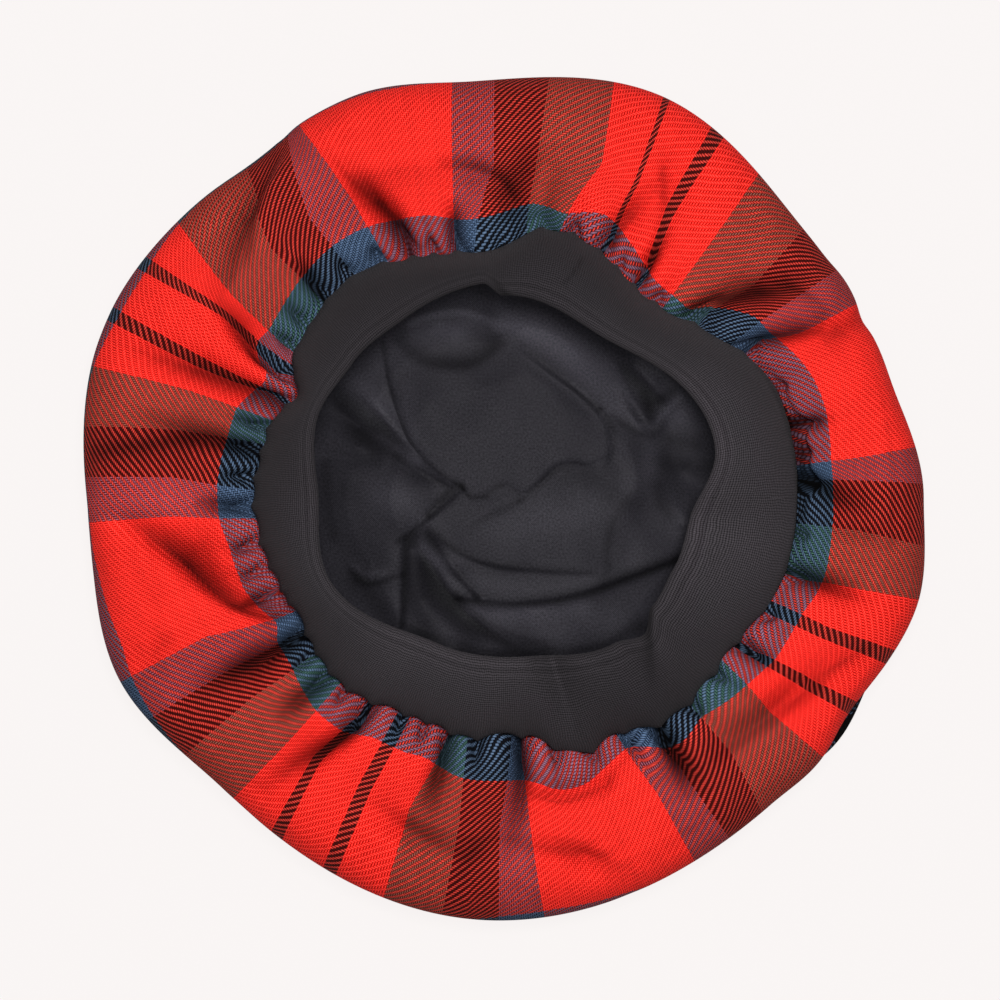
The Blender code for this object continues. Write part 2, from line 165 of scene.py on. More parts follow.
# ------------------------------------------------------------------ folds
# A fold is a path, its height at the start, middle and end (negative is a crease), the width of
# its left and right flanks as the path runs, how many times wider it is at the end, and how soft
# it is: 1 is a sharp crease, 2 round. Paths on the strip are (angle, radius).
STRIP_FOLDS = [
    # long folds that start in a deep gather at the band
    (((31.4, 92), (30.5, 100), (28.6, 118), (26.2, 132)), -8.0, -9.4, -2.3, 3.4, 2.0, 1.6, 1.5),
    (((42.8, 89), (40.6, 101), (37.2, 118), (36.0, 130)), -7.5, -10.5, -1.0, 4.6, 3.8, 1.3, 1.8),
    (((14.2, 95), (13.6, 103), (13.2, 114)), -5.8, -6.8, 0.0, 2.0, 2.0, 1.4, 1.5),
    (((4.6, 95), (1.8, 104), (0.0, 112), (-1.0, 126)), -6.2, -7.9, 0.0, 3.0, 3.0, 1.6, 1.8),
    (((58.3, 78), (58.2, 92), (58.8, 108)), -8.0, -8.6, 0.0, 2.2, 1.9, 1.6, 1.4),
    (((68.8, 84), (67.2, 97), (65.8, 105), (63.6, 118)), -8.6, -8.6, 0.0, 1.9, 2.6, 1.8, 1.4),
    (((101.0, 82), (100.3, 90), (99.2, 101)), -8.6, -8.6, 0.0, 2.0, 2.0, 1.4, 1.3),
    (((110.6, 84), (111.4, 96), (113.4, 110), (116.0, 126)), -10.9, -13.9, -1.2, 2.6, 2.6, 1.9, 1.3),
    (((131.9, 88), (131.3, 97), (130.6, 106)), -6.9, -7.5, 0.0, 2.2, 2.2, 1.4, 1.3),
    (((150.4, 84), (149.6, 94), (148.0, 103), (146.4, 112), (144.6, 121)),
     -8.6, -10.9, -1.0, 2.2, 4.0, 1.3, 1.5),
    (((156.8, 80), (157.0, 110), (157.0, 137)), -6.9, -9.0, -1.2, 3.6, 3.6, 1.6, 1.8),
    (((169.2, 84), (168.4, 104), (167.5, 130)), -8.0, -8.2, 0.0, 3.0, 3.6, 1.6, 1.7),
    (((182.0, 86), (181.4, 94), (181.0, 104)), -6.9, -6.8, 0.0, 2.4, 2.4, 1.4, 1.4),
    (((214.6, 80), (213.6, 96), (212.6, 110), (211.6, 124)), -9.2, -11.2, -1.0, 3.0, 3.0, 1.9, 1.5),
    (((225.2, 84), (224.6, 94), (224.4, 106)), -6.4, -6.8, 0.0, 2.8, 2.8, 1.4, 1.5),
    (((237.4, 80), (236.4, 94), (234.0, 106), (231.0, 126)), -10.9, -11.6, -2.0, 2.0, 3.2, 1.9, 1.4),
    (((257.4, 79), (257.0, 92), (256.3, 101), (255.8, 112)), -11.5, -9.0, 0.0, 2.1, 2.6, 2.0, 1.3),
    (((274.4, 78), (273.9, 92), (273.0, 102), (271.8, 114), (270.4, 126)),
     -12.6, -8.4, 0.0, 1.8, 3.4, 2.0, 1.4),
    (((304.2, 88), (303.6, 99), (303.0, 109), (302.0, 122)), -10.3, -11.2, 0.0, 2.3, 2.3, 2.2, 1.4),
    (((328.8, 88), (328.0, 97), (327.4, 108)), -8.0, -8.2, 0.0, 2.2, 2.4, 1.5, 1.4),
    (((346.0, 92), (345.2, 104), (344.2, 126)), -8.0, -9.8, -1.2, 2.6, 2.6, 1.7, 1.6),
    # short gathers between them
    (((8.6, 95), (8.6, 104)), -4.5, -3.1, 0.0, 1.7, 1.7, 1.3, 1.4),
    (((22.0, 94), (21.4, 102)), -5.2, -3.6, 0.0, 1.8, 1.8, 1.3, 1.4),
    (((52.2, 76), (52.6, 87)), -5.8, -4.2, 0.0, 1.9, 1.9, 1.3, 1.4),
    (((63.6, 80), (63.0, 91)), -5.5, -3.9, 0.0, 1.8, 1.8, 1.3, 1.4),
    (((75.2, 86), (74.4, 97)), -5.8, -3.9, 0.0, 2.0, 2.0, 1.4, 1.5),
    (((82.0, 86), (82.0, 94)), -5.2, -3.6, 0.0, 2.0, 2.0, 1.3, 1.5),
    (((91.5, 84), (90.6, 95)), -3.4, -2.6, 0.0, 2.0, 2.0, 1.4, 1.4),
    (((106.0, 82), (105.6, 92)), -5.8, -4.2, 0.0, 1.8, 1.8, 1.3, 1.4),
    (((117.4, 86), (118.2, 96)), -6.2, -4.2, 0.0, 2.0, 2.0, 1.4, 1.4),
    (((124.8, 88), (125.2, 98)), -5.8, -3.9, 0.0, 2.0, 2.0, 1.4, 1.4),
    (((138.6, 88), (138.2, 98)), -6.0, -4.2, 0.0, 2.0, 2.0, 1.4, 1.4),
    (((144.4, 86), (144.0, 95)), -5.5, -3.9, 0.0, 1.8, 1.8, 1.3, 1.4),
    (((163.8, 83), (163.2, 94)), -6.2, -4.4, 0.0, 2.0, 2.0, 1.4, 1.4),
    (((175.4, 86), (175.6, 95)), -5.8, -3.9, 0.0, 1.9, 1.9, 1.3, 1.4),
    (((190.6, 86), (192.4, 94)), -5.8, -3.9, 0.0, 1.7, 1.7, 1.3, 1.4),
    (((196.6, 85), (197.6, 92)), -5.2, -3.4, 0.0, 1.6, 1.6, 1.2, 1.4),
    (((202.4, 83), (201.6, 92)), -5.8, -4.2, 0.0, 1.6, 1.6, 1.2, 1.4),
    (((219.6, 81), (219.0, 92)), -5.5, -3.9, 0.0, 1.8, 1.8, 1.3, 1.4),
    (((231.0, 80), (230.4, 90)), -5.2, -3.6, 0.0, 1.8, 1.8, 1.3, 1.4),
    (((245.6, 78), (245.2, 88)), -5.0, -3.4, 0.0, 1.7, 1.7, 1.3, 1.4),
    (((251.0, 78), (250.6, 87)), -4.8, -3.1, 0.0, 1.7, 1.7, 1.3, 1.4),
    (((263.8, 78), (263.4, 90)), -5.8, -4.2, 0.0, 2.0, 2.0, 1.4, 1.4),
    (((281.4, 82), (281.0, 92)), -5.2, -3.6, 0.0, 1.9, 1.9, 1.3, 1.4),
    (((289.4, 84), (288.6, 93)), -8.0, -4.7, 0.0, 1.7, 1.7, 1.3, 1.4),
    (((297.4, 86), (296.8, 96)), -6.0, -4.2, 0.0, 1.9, 1.9, 1.3, 1.4),
    (((312.4, 88), (312.0, 99)), -6.8, -4.7, 0.0, 2.0, 2.0, 1.4, 1.4),
    (((320.6, 88), (320.0, 98)), -6.0, -3.9, 0.0, 2.0, 2.0, 1.4, 1.4),
    (((336.6, 89), (336.0, 100)), -6.8, -4.7, 0.0, 2.0, 2.0, 1.4, 1.4),
    (((353.4, 93), (352.6, 103)), -6.0, -4.2, 0.0, 2.0, 2.0, 1.4, 1.4),
    # the wedge at the left, steep on its outer side, and the roll outside it
    (((206, 87), (201.5, 96), (197.5, 101.5), (192, 108.5), (186.5, 120), (182.5, 132)),
     -6.0, -13.0, -1.0, 1.8, 10.5, 1.0, 1.6),
    (((206, 93), (200, 104), (193, 116), (187, 130)), 1.0, 3.6, 0.5, 10.0, 4.5, 1.0, 1.8),
    # the overlap at the upper left, with its roll on the inner side
    (((122.0, 140), (130.2, 131), (134.6, 124), (141.6, 115)), -1.5, -7.5, -1.5, 3.2, 7.0, 1.0, 1.7),
    (((124, 131), (132, 121), (138, 111)), 0.8, 3.4, 0.5, 5.0, 3.5, 1.0, 1.8),
    # soft hollows that no gather starts
    (((64.8, 129), (61.6, 117), (58.8, 105)), -0.8, -6.0, -2.0, 6.0, 4.0, 1.0, 1.8),
    (((84.0, 96), (83.0, 110), (80.0, 126)), -4.0, -6.5, 0.0, 8.0, 8.0, 1.0, 2.0),
    (((100.2, 112), (95.0, 109.5), (89.6, 105)), -1.5, -5.0, -1.0, 3.0, 4.6, 1.0, 1.8),
    (((263, 121), (255, 118), (245, 110)), -1.5, -8.0, -1.5, 4.0, 8.5, 1.0, 1.9),
    (((287.0, 133), (283, 125), (277, 116.5)), -1.0, -7.0, -1.5, 4.0, 5.0, 1.0, 1.8),
    (((297, 95), (288, 100), (277, 101.5)), -2.5, -6.0, -3.0, 3.6, 3.6, 1.0, 1.7),
    (((338.0, 133), (333, 126), (327.5, 118.5), (320, 114), (311, 110)),
     -1.0, -8.0, -4.0, 3.4, 7.5, 1.0, 1.8),
    (((203, 131), (200, 124), (196, 116)), 0.0, 2.0, 0.0, 8.0, 8.0, 1.0, 2.0),
    (((20, 126), (16, 116)), 1.5, 1.5, 0.0, 10.0, 8.0, 1.0, 2.0),
    # the cloth stands clear of the band at the right
    (((-3, 98.6), (6, 99.4), (15, 98.6), (24, 96.6)), -2.0, -3.5, -1.5, 2.0, 2.0, 1.0, 2.0),
]
# Painted shade where the strip lies in its own shade, in rows like those of the folds: how dark it
# is, from 0 to 1, in place of the heights, and less than 0 where it is painted lighter. The painted
# shade deep in the gathers' creases is added to these.
STRIP_SHADES = [
    (((262, 118), (255, 116), (246, 109)), 0.2, 0.4, 0.1, 3.0, 6.0, 1.0, 2.0),
    (((256.8, 95), (256, 108)), 0.2, 0.2, 0.0, 3.5, 3.0, 1.0, 2.0),
    (((236.6, 93), (235.4, 101), (232.4, 112), (230.8, 126)), 0.5, 0.3, 0.1, 1.2, 4.0, 1.2, 1.8),
    (((215, 82), (213.4, 92), (212.6, 106), (213, 124)), 0.5, 0.4, 0.1, 3.2, 3.2, 1.2, 2.0),
    (((225.8, 86), (225, 96), (224.5, 108)), 0.35, 0.3, 0.0, 2.5, 2.5, 1.4, 2.0),
    (((207, 91), (201.5, 97.5), (197.5, 102), (192, 108.5), (186.5, 120), (182.8, 131)),
     0.35, 0.45, 0.2, 0.5, 9.0, 1.0, 1.3),
    (((203, 86), (202.2, 94), (201.4, 97)), 0.4, 0.4, 0.2, 1.3, 1.3, 1.0, 2.0),
    (((271, 108), (267.5, 113), (264.5, 120), (262.5, 131)), 0.1, 0.4, 0.1, 3.0, 3.0, 1.0, 2.0),
    (((204.5, 127), (203, 121), (201, 116)), 0.15, 0.2, 0.0, 3.0, 3.0, 1.0, 2.0),
    (((111.4, 94), (113.4, 105), (115.2, 116), (117.4, 130)), 0.5, 0.4, 0.1, 3.4, 1.2, 1.3, 1.6),
    (((100, 112), (95, 110), (90, 105.5), (88, 100)), 0.3, 0.55, 0.3, 3.4, 1.2, 1.0, 1.8),
    (((90.5, 97), (90, 105)), 0.25, 0.35, 0.2, 3.0, 3.0, 1.0, 2.0),
    (((114, 117), (107, 114.5), (101, 112)), 0.2, 0.25, 0.15, 1.2, 6.0, 1.0, 2.0),
    (((123.5, 138), (130, 131), (134.4, 124.5), (141, 116)), 0.3, 0.75, 0.4, 0.8, 5.5, 1.0, 1.6),
    (((132.4, 88), (131.6, 94), (130, 98.5)), 0.8, 0.7, 0.2, 0.9, 1.8, 1.0, 2.0),
    (((150.8, 85), (149.8, 93), (148, 99)), 0.6, 0.7, 0.2, 1.5, 1.0, 1.0, 2.0),
    (((157.6, 80), (156.8, 96), (157.6, 112), (158, 134)), 0.6, 0.35, 0.15, 4.4, 1.2, 1.0, 1.8),
    (((169.8, 84), (168.6, 100), (170.5, 114), (173.5, 136)), 0.5, 0.45, 0.3, 3.2, 3.0, 1.0, 2.0),
    (((26.0, 114), (26.4, 124), (27.4, 132)), 0.1, 0.3, 0.25, 1.5, 5.0, 1.0, 2.0),
    (((30.8, 96), (29.6, 110), (28.2, 121)), 0.6, 0.45, 0.2, 1.6, 1.4, 1.0, 2.0),
    (((41.4, 96), (39.6, 106), (37.4, 114), (36, 122)), 0.5, 0.5, 0.2, 3.2, 2.2, 1.0, 2.0),
    (((38, 121), (34, 122), (29.5, 124)), 0.3, 0.35, 0.2, 1.2, 3.5, 1.0, 2.0),
    (((14.4, 98), (13.8, 109)), 0.4, 0.3, 0.1, 2.6, 1.0, 1.0, 2.0),
    (((4.0, 96), (2, 103), (0, 109), (-1, 117)), 0.8, 0.6, 0.1, 2.0, 2.0, 1.0, 2.0),
    (((65, 126), (61.8, 114), (59.6, 104)), 0.15, 0.35, 0.2, 3.0, 3.0, 1.0, 2.0),
    (((88, 96), (87, 108), (85, 122)), 0.35, 0.4, 0.05, 5.0, 4.5, 1.0, 2.0),
    (((80, 98), (79, 110)), 0.25, 0.2, 0.0, 5.0, 5.0, 1.0, 2.0),
    (((45.5, 88), (44, 95), (43, 99)), 0.6, 0.4, 0.0, 2.6, 2.6, 1.0, 2.0),
    (((28, 96), (18, 98), (8, 98.8), (-4, 98.4), (-12, 97.4)), 0.4, 0.9, 0.4, 1.5, 2.5, 1.0, 2.0),
    (((273.4, 80), (273, 90), (272.2, 98), (270.4, 110)), 0.55, 0.24, 0.0, 0.7, 3.0, 1.2, 1.7),
    (((286, 132), (283, 125.5), (278, 118.5), (271, 114.5)), 0.15, 0.45, 0.3, 2.2, 3.4, 1.0, 1.9),
    (((295, 96.5), (288, 101), (280, 102.5), (276, 100)), 0.3, 0.45, 0.3, 0.8, 4.0, 1.0, 1.7),
    (((304.6, 90), (304, 98), (303.2, 106), (302, 116)), 0.8, 0.55, 0.1, 2.6, 2.2, 1.3, 2.0),
    (((329, 121), (322, 113.5), (316, 110.5), (310, 111)), 0.25, 0.5, 0.2, 5.0, 4.5, 1.0, 2.0),
    (((338, 132), (334, 127), (330, 121.5)), 0.25, 0.5, 0.3, 2.8, 1.6, 1.0, 1.9),
    (((346, 96), (345.2, 104), (344.6, 114), (344, 126)), 0.6, 0.45, 0.15, 1.8, 2.0, 1.3, 2.0),
    (((354.6, 112), (354, 130)), 0.2, 0.3, 0.1, 3.0, 3.0, 1.0, 2.0),
    # broad light and shade at the left and the bottom
    (((164, 108), (164, 134)), -0.10, -0.14, -0.10, 8.0, 8.0, 1.0, 2.0),
    (((172.6, 108), (172.6, 134)), 0.20, 0.26, 0.20, 6.0, 6.0, 1.0, 2.0),
    (((181, 108), (181, 134)), -0.30, -0.40, -0.30, 8.0, 8.0, 1.0, 2.0),
    (((257, 104), (257, 128)), 0.06, 0.10, 0.06, 7.0, 7.0, 1.0, 2.0),
    (((265, 104), (265, 128)), 0.08, 0.14, 0.08, 7.0, 7.0, 1.0, 2.0),
    (((272, 100), (272, 124)), -0.10, -0.18, -0.10, 5.0, 5.0, 1.0, 2.0),
]
# Unevenness of the cloth between its folds: wavelength in metres, seed, share of the height.
STRIP_RIPPLES = [(0.024, 5, 1.0), (0.008, 6, 0.35)]
LINING_RIPPLES = [(0.018, 11, 1.0)]
LINING_RIPPLE_HEIGHT = 0.0005
# The lining's folds, with paths in (x, y).
LINING_FOLDS = [
    # the plateau's left edge, and the pocket and the small roll that run into it
    (((-41, 52), (-37.5, 35), (-31.5, 19), (-19, 6)), 0.0, -2.6, -1.5, 1.3, 4.0, 1.0, 1.2),
    (((-58, 33), (-48, 24), (-36, 17)), -6.0, -10.0, -3.0, 6.0, 5.0, 1.0, 2.0),
    (((-56, 40), (-46, 34), (-34, 20), (-24, 9)), 1.0, 3.6, 1.0, 3.0, 3.0, 1.0, 1.6),
    (((-36, 14), (-29.5, 9.5), (-18, 3)), 1.0, 4.0, 1.0, 2.0, 3.5, 1.0, 1.5),
    # the hump at the top
    (((-30, 55), (-16, 56), (-4, 54)), 2.0, 6.5, 1.0, 6.0, 6.5, 1.0, 2.2),
    # the long layer over the plateau's right side, and the plateau's lower edge
    (((-1, 56), (15, 43.5), (29, 32.5), (36, 22), (36.5, 14)), 1.5, 3.6, 1.8, 8.0, 1.1, 1.0, 1.3),
    (((36.5, 14), (29, 10.5), (20, 11), (10.5, 3.2), (-1, -3.5)), 0.6, 1.6, 0.6, 7.0, 1.1, 1.0, 1.3),
    # the turned-up fold at the right, its pocket, and the hollow under the band
    (((38, 44), (44, 31), (49, 24.5), (54, 29), (58, 33)), 2.0, 6.0, 1.0, 6.0, 2.0, 1.0, 1.5),
    (((44, 43), (54, 33)), -7.0, -11.0, -7.0, 4.5, 4.5, 1.0, 2.0),
    (((54, 18), (60, 8), (68, 2)), -3.0, -7.0, -6.0, 6.0, 6.0, 1.0, 2.0),
    (((36, 24), (42, 16), (44, 8), (39, -6), (36, -22)), 0.0, 3.0, 0.0, 4.0, 7.0, 1.0, 1.8),
    (((56, -2), (61, -8), (60, -16)), 0.0, 3.4, 0.0, 3.0, 4.0, 1.0, 1.8),
    # the left layer, whose edge runs down from the middle over the dark pocket
    (((-14, 3.5), (-24, -5), (-33, -13), (-34.5, -28), (-35, -44)), 1.6, 3.6, 3.4, 1.4, 10.0, 1.0, 1.3),
    (((-29, -18), (-27, -32), (-16, -46)), -6.0, -11.0, -9.0, 6.0, 6.0, 1.3, 2.2),
    # layers that fan out to the right at the bottom
    (((-25, -10.5), (-16.5, -17), (-4.5, -21.5), (12, -23.6), (36, -24.8)),
     0.8, 1.9, 0.3, 9.0, 1.0, 1.0, 1.2),
    (((-24, -12.5), (-14.5, -25.5), (-7, -33.5)), 1.0, 3.0, 2.0, 5.0, 1.2, 1.0, 1.2),
    (((-14.5, -33), (2, -34.4), (20, -32.6), (36, -28), (55, -21)), 2.0, 3.8, 3.4, 8.0, 1.2, 1.0, 1.2),
    (((-29, -14), (-21, -26), (-13, -37), (-4, -44), (3, -48)), 2.0, 6.0, 2.0, 7.0, 1.6, 1.0, 1.3),
    # small folds at the left
    (((-50.5, -22), (-48, -25.5), (-43.5, -27), (-37.5, -24.5)), 0.5, 3.6, 0.5, 4.0, 1.5, 1.0, 1.4),
    (((-60, 14), (-50, 13), (-40, 12)), -2.0, -4.0, 0.0, 3.0, 3.0, 1.0, 1.6),
    (((-13, 1), (-6, 1.2), (0, 3.6), (4.5, 1), (0, -3)), 0.3, 1.2, 0.5, 1.2, 3.0, 1.0, 1.5),
]
# Where the lining lies in shade, and with a negative number in light.
LINING_SHADES = [
    # the plateau's left edge and the lit cloth beside it
    (((-40.1, 51.9), (-37.3, 35.3), (-32.6, 22.3), (-26.2, 12.1), (-16, 4.7)),
     0.35, 0.45, 0.40, 1.0, 0.8, 1.0, 2.0),
    (((-50, 38), (-43, 33), (-36.5, 24)), -0.35, -0.25, -0.15, 3.4, 3.4, 1.0, 2.0),
    (((-53.9, 29.7), (-49.3, 23.2), (-42.8, 15.8)), 0.50, 0.55, 0.40, 4.0, 4.0, 1.0, 2.0),
    (((-36.3, 14), (-28, 8.4), (-18.8, 3.8)), 0.30, 0.40, 0.30, 1.0, 1.0, 1.0, 2.0),
    (((-40.1, 20.4), (-32.6, 14), (-23.4, 8.4)), -0.20, -0.20, -0.20, 1.5, 1.5, 1.0, 2.0),
    # the left, round its small fold and down its layer's edge
    (((-52.1, 1.9), (-43.8, 4.7), (-34.5, 1.9)), 0.20, -0.05, -0.25, 5.0, 5.0, 1.0, 2.0),
    (((-59.5, 11.2), (-58.6, -1.8), (-56.7, -12.9)), 0.35, 0.35, 0.30, 2.5, 2.5, 1.0, 2.0),
    (((-14.6, 4), (-19, 0.6), (-24.6, -5.6)), 0.45, 0.50, 0.45, 1.7, 1.9, 1.0, 2.6),
    (((-24.6, -5.6), (-30.8, -10.6), (-35.4, -14.4)), 0.40, 0.30, 0.40, 1.0, 0.8, 1.0, 2.0),
    (((-33.2, -13.6), (-33.8, -24), (-34.6, -42.5)), 0.20, 0.40, 0.45, 1.8, 0.6, 1.0, 2.0),
    (((-29, -22), (-27.6, -33), (-26, -44)), 0.30, 0.30, 0.30, 5.0, 5.0, 1.0, 2.0),
    (((-49.3, -27.7), (-41.9, -35.1), (-36.3, -42.5)), 0.30, 0.30, 0.30, 3.0, 3.0, 1.0, 2.0),
    (((-50.8, -24), (-45.6, -28.1), (-40.1, -27.3), (-34.5, -24.9)), 0.30, 0.40, 0.30, 0.6, 1.6, 1.0, 2.0),
    (((-50.2, -21.8), (-45.6, -25.1), (-40.1, -24.6)), -0.30, -0.30, -0.30, 0.8, 0.8, 1.0, 2.0),
    # the middle
    (((-14, 3.6), (-11.5, 0.6), (-6, 0.4)), 0.60, 0.50, 0.40, 1.1, 0.8, 1.0, 2.0),
    (((-6, 0.5), (-3.4, 2.4), (-0.8, 4.1), (2.6, 2.6), (5.2, 0.6)), 0.30, 0.40, 0.15, 0.8, 0.5, 1.0, 2.0),
    (((22, 7.4), (31, 6), (36, 1)), 0.20, 0.25, 0.20, 4.0, 4.0, 1.0, 2.0),
    (((5.2, -0.6), (0, -3.2), (-6, -6.2), (-11, -10)), 0.40, 0.35, 0.15, 1.4, 0.7, 1.4, 2.0),
    (((5.2, -0.8), (10.4, 3.2), (14.4, 7), (19, 10.4), (24, 11.4), (30, 10.4)),
     0.30, 0.35, 0.10, 0.6, 1.2, 1.0, 2.0),
    # the long layer at the upper right
    (((-1, 57.4), (6, 51.4), (14.6, 43.9), (20, 40), (26, 34.8), (32.4, 29.6)),
     0.10, 0.45, 0.55, 0.6, 1.0, 1.0, 2.0),
    (((32.4, 29.6), (35.6, 25), (37.2, 19), (36.4, 13.4), (34, 10.4)), 0.45, 0.40, 0.15, 0.7, 1.0, 1.0, 2.0),
    (((0, 59), (15, 48.6), (28.5, 37.6), (37, 29.5)), -0.40, -0.50, -0.40, 3.4, 3.4, 1.0, 2.0),
    (((3, 58.4), (16, 53), (28, 45.6), (36, 37), (40, 31)), -0.35, -0.55, -0.20, 3.6, 4.6, 1.0, 2.0),
    (((2, 64), (12, 61.6), (22, 57), (32, 50), (40, 43)), 0.10, 0.15, 0.10, 2.2, 1.6, 1.0, 2.0),
    # the pocket at the right and its turned-up edge
    (((40, 42), (45.1, 37), (49.4, 31.6)), 0.15, 0.30, 0.40, 3.0, 3.0, 1.0, 2.0),
    (((46.8, 34), (48.2, 27.6)), 0.25, 0.35, 0.35, 2.2, 2.2, 1.0, 2.0),
    (((52.6, 32.6), (56.4, 35.6)), 0.45, 0.45, 0.45, 1.8, 1.8, 1.0, 2.0),
    (((42, 27.8), (46, 24.4), (49.6, 23.7), (52.6, 27.4), (56, 30.6), (59.6, 34)),
     -0.40, -0.75, -0.45, 0.8, 0.9, 1.0, 2.0),
    (((36.5, 27.5), (40, 24.5), (44, 22), (50, 19.8)), 0.35, 0.40, 0.15, 0.8, 1.4, 1.0, 2.0),
    (((37.7, 18.6), (41.4, 11.2), (40.5, 1.9)), -0.20, -0.20, -0.20, 3.0, 3.0, 1.0, 2.0),
    (((54.4, 12.1), (61.8, 10.8), (67.4, 10.8)), 0.40, 0.40, 0.40, 4.0, 4.0, 1.0, 2.0),
    (((56, 19.6), (64, 18)), 0.45, 0.45, 0.45, 3.4, 3.4, 1.0, 2.0),
    (((55, 28), (60, 28)), -0.35, -0.35, -0.35, 3.0, 3.0, 1.0, 2.0),
    (((41.4, 0.1), (36.2, -9.2), (34.6, -16.6), (34.6, -23.1)), 0.30, 0.35, 0.30, 1.6, 1.6, 1.0, 2.0),
    (((38.7, -5.5), (43.3, -12.9), (43.3, -20.3)), -0.15, -0.15, -0.15, 3.0, 3.0, 1.0, 2.0),
    (((50.7, 3.8), (52.5, -1.8), (55.3, -5.5)), 0.35, 0.35, 0.30, 2.5, 2.5, 1.0, 2.0),
    # the layers that fan out at the bottom
    (((-24.9, -9.8), (-17.5, -16.4), (-6.7, -21.4), (9.9, -23.6), (30, -24.9)),
     0.40, 0.45, 0.20, 1.4, 0.7, 1.0, 2.0),
    (((-15, -33.2), (2, -34.8), (15, -33.8), (30, -30.4), (42, -26), (58.5, -20.4)),
     0.45, 0.60, 0.75, 1.6, 0.8, 1.4, 2.0),
    (((-11, -37), (8, -38), (26, -36)), -0.9, -0.7, -0.6, 3.4, 3.4, 1.0, 2.0),
    (((-28.4, -12.9), (-21.5, -24), (-13.8, -33.6), (-5.8, -41), (4.4, -45.7), (13.7, -47.7)),
     0.30, 0.40, 0.30, 0.8, 4.5, 1.0, 2.0),
    (((-24.6, -11.4), (-19.6, -17.6), (-14.4, -25), (-8.4, -32.4)), 0.35, 0.45, 0.45, 0.8, 1.6, 1.0, 2.0),
    (((-27.4, -14), (-23.6, -20.6), (-17, -29.6)), -0.50, -0.70, -0.40, 1.8, 1.8, 1.0, 2.0),
    (((-1.2, -40.7), (15.5, -42.5), (35.9, -38.8)), -0.35, -0.40, -0.30, 5.0, 5.0, 1.0, 2.0),
    (((-12.3, -27.7), (9.9, -29.6), (28.5, -28.1)), -0.30, -0.25, -0.25, 3.0, 3.0, 1.0, 2.0),
    (((-27, -17), (-22, -20), (-17, -22)), -1.2, -1.0, -0.5, 2.6, 2.6, 1.0, 2.0),
    (((0, -10), (12, -7), (28, -4)), -0.25, -0.35, -0.30, 8.0, 7.0, 1.0, 2.0),
    (((-32, 36), (-31, 22), (-30, 12)), -0.30, -0.45, -0.45, 3.5, 3.5, 1.0, 2.0),
    (((-44, 30), (-36, 28)), -0.50, -0.40, -0.30, 4.0, 4.0, 1.0, 2.0),
    (((-42, 0), (-32, -3), (-27, -8)), -0.40, -0.50, -0.40, 5.0, 5.0, 1.0, 2.0),
    (((48, 17), (48, 10), (47, 3)), -0.50, -0.80, -0.30, 3.4, 3.4, 1.0, 2.0),
    (((-30.8, -44.4), (-12.3, -51.8), (11.8, -52.1), (35.9, -48.1), (45.1, -42.5)),
     0.50, 0.50, 0.40, 2.5, 2.5, 1.0, 2.0),
    # the hump at the top
    (((-21, 56.6), (-16, 55.6), (-11, 57.8)), -0.45, -0.50, -0.35, 3.4, 3.4, 1.0, 2.0),
    (((-34, 52), (-29, 47), (-21, 44.4), (-10, 45), (-1, 51.6)),
     0.40, 0.60, 0.50, 4.0, 2.2, 1.0, 2.0),
    (((-31, 58.4), (-22, 61.4), (-13, 61.8), (-5, 59.2), (1, 56.4)),
     -0.80, -0.95, -0.45, 1.0, 1.6, 1.0, 2.0),
]
# Painted light: how much lighter the lining is just inside the band's fold, by angle,
# and how far in that reaches.
LINING_EDGE_LIGHT = [
    (0, 0.2), (14, 0.5), (28, 1.8), (50, 1.9), (70, 1.6), (100, 2.0), (130, 1.1), (150, 0.5), (170, 0.2),
    (200, 0.35), (230, 0.45), (255, 0.2), (280, 0.2), (320, 0.3), (345, 0.2),
]
LINING_EDGE_REACH = 0.009
# The least and the most shade that all strokes together can give.
STRIP_SHADE_RANGE, LINING_SHADE_RANGE, BAND_SHADE_RANGE = (-0.4, 0.9), (-1.2, 0.85), (0.0, 0.9)
SHADE_EASE = 8.0             # degrees over which shades that follow the angle are evened out

# ------------------------------------------------------------------ the tartan
# One repeat, from the edge of the wide red stripe: yarn, warp threads, weft threads. The weft is
# packed closer, so it takes more of them to the same stripe.
SETT = [
    ("red", 72, 92), ("blue", 20, 24), ("black", 26, 31), ("green", 30, 36), ("red", 19, 23),
    ("black", 6, 7), ("red", 20, 24), ("black", 6, 7), ("red", 19, 23), ("green", 30, 36),
    ("black", 26, 31), ("blue", 20, 24),
]
WARP_REPEAT = sum(row[1] for row in SETT)
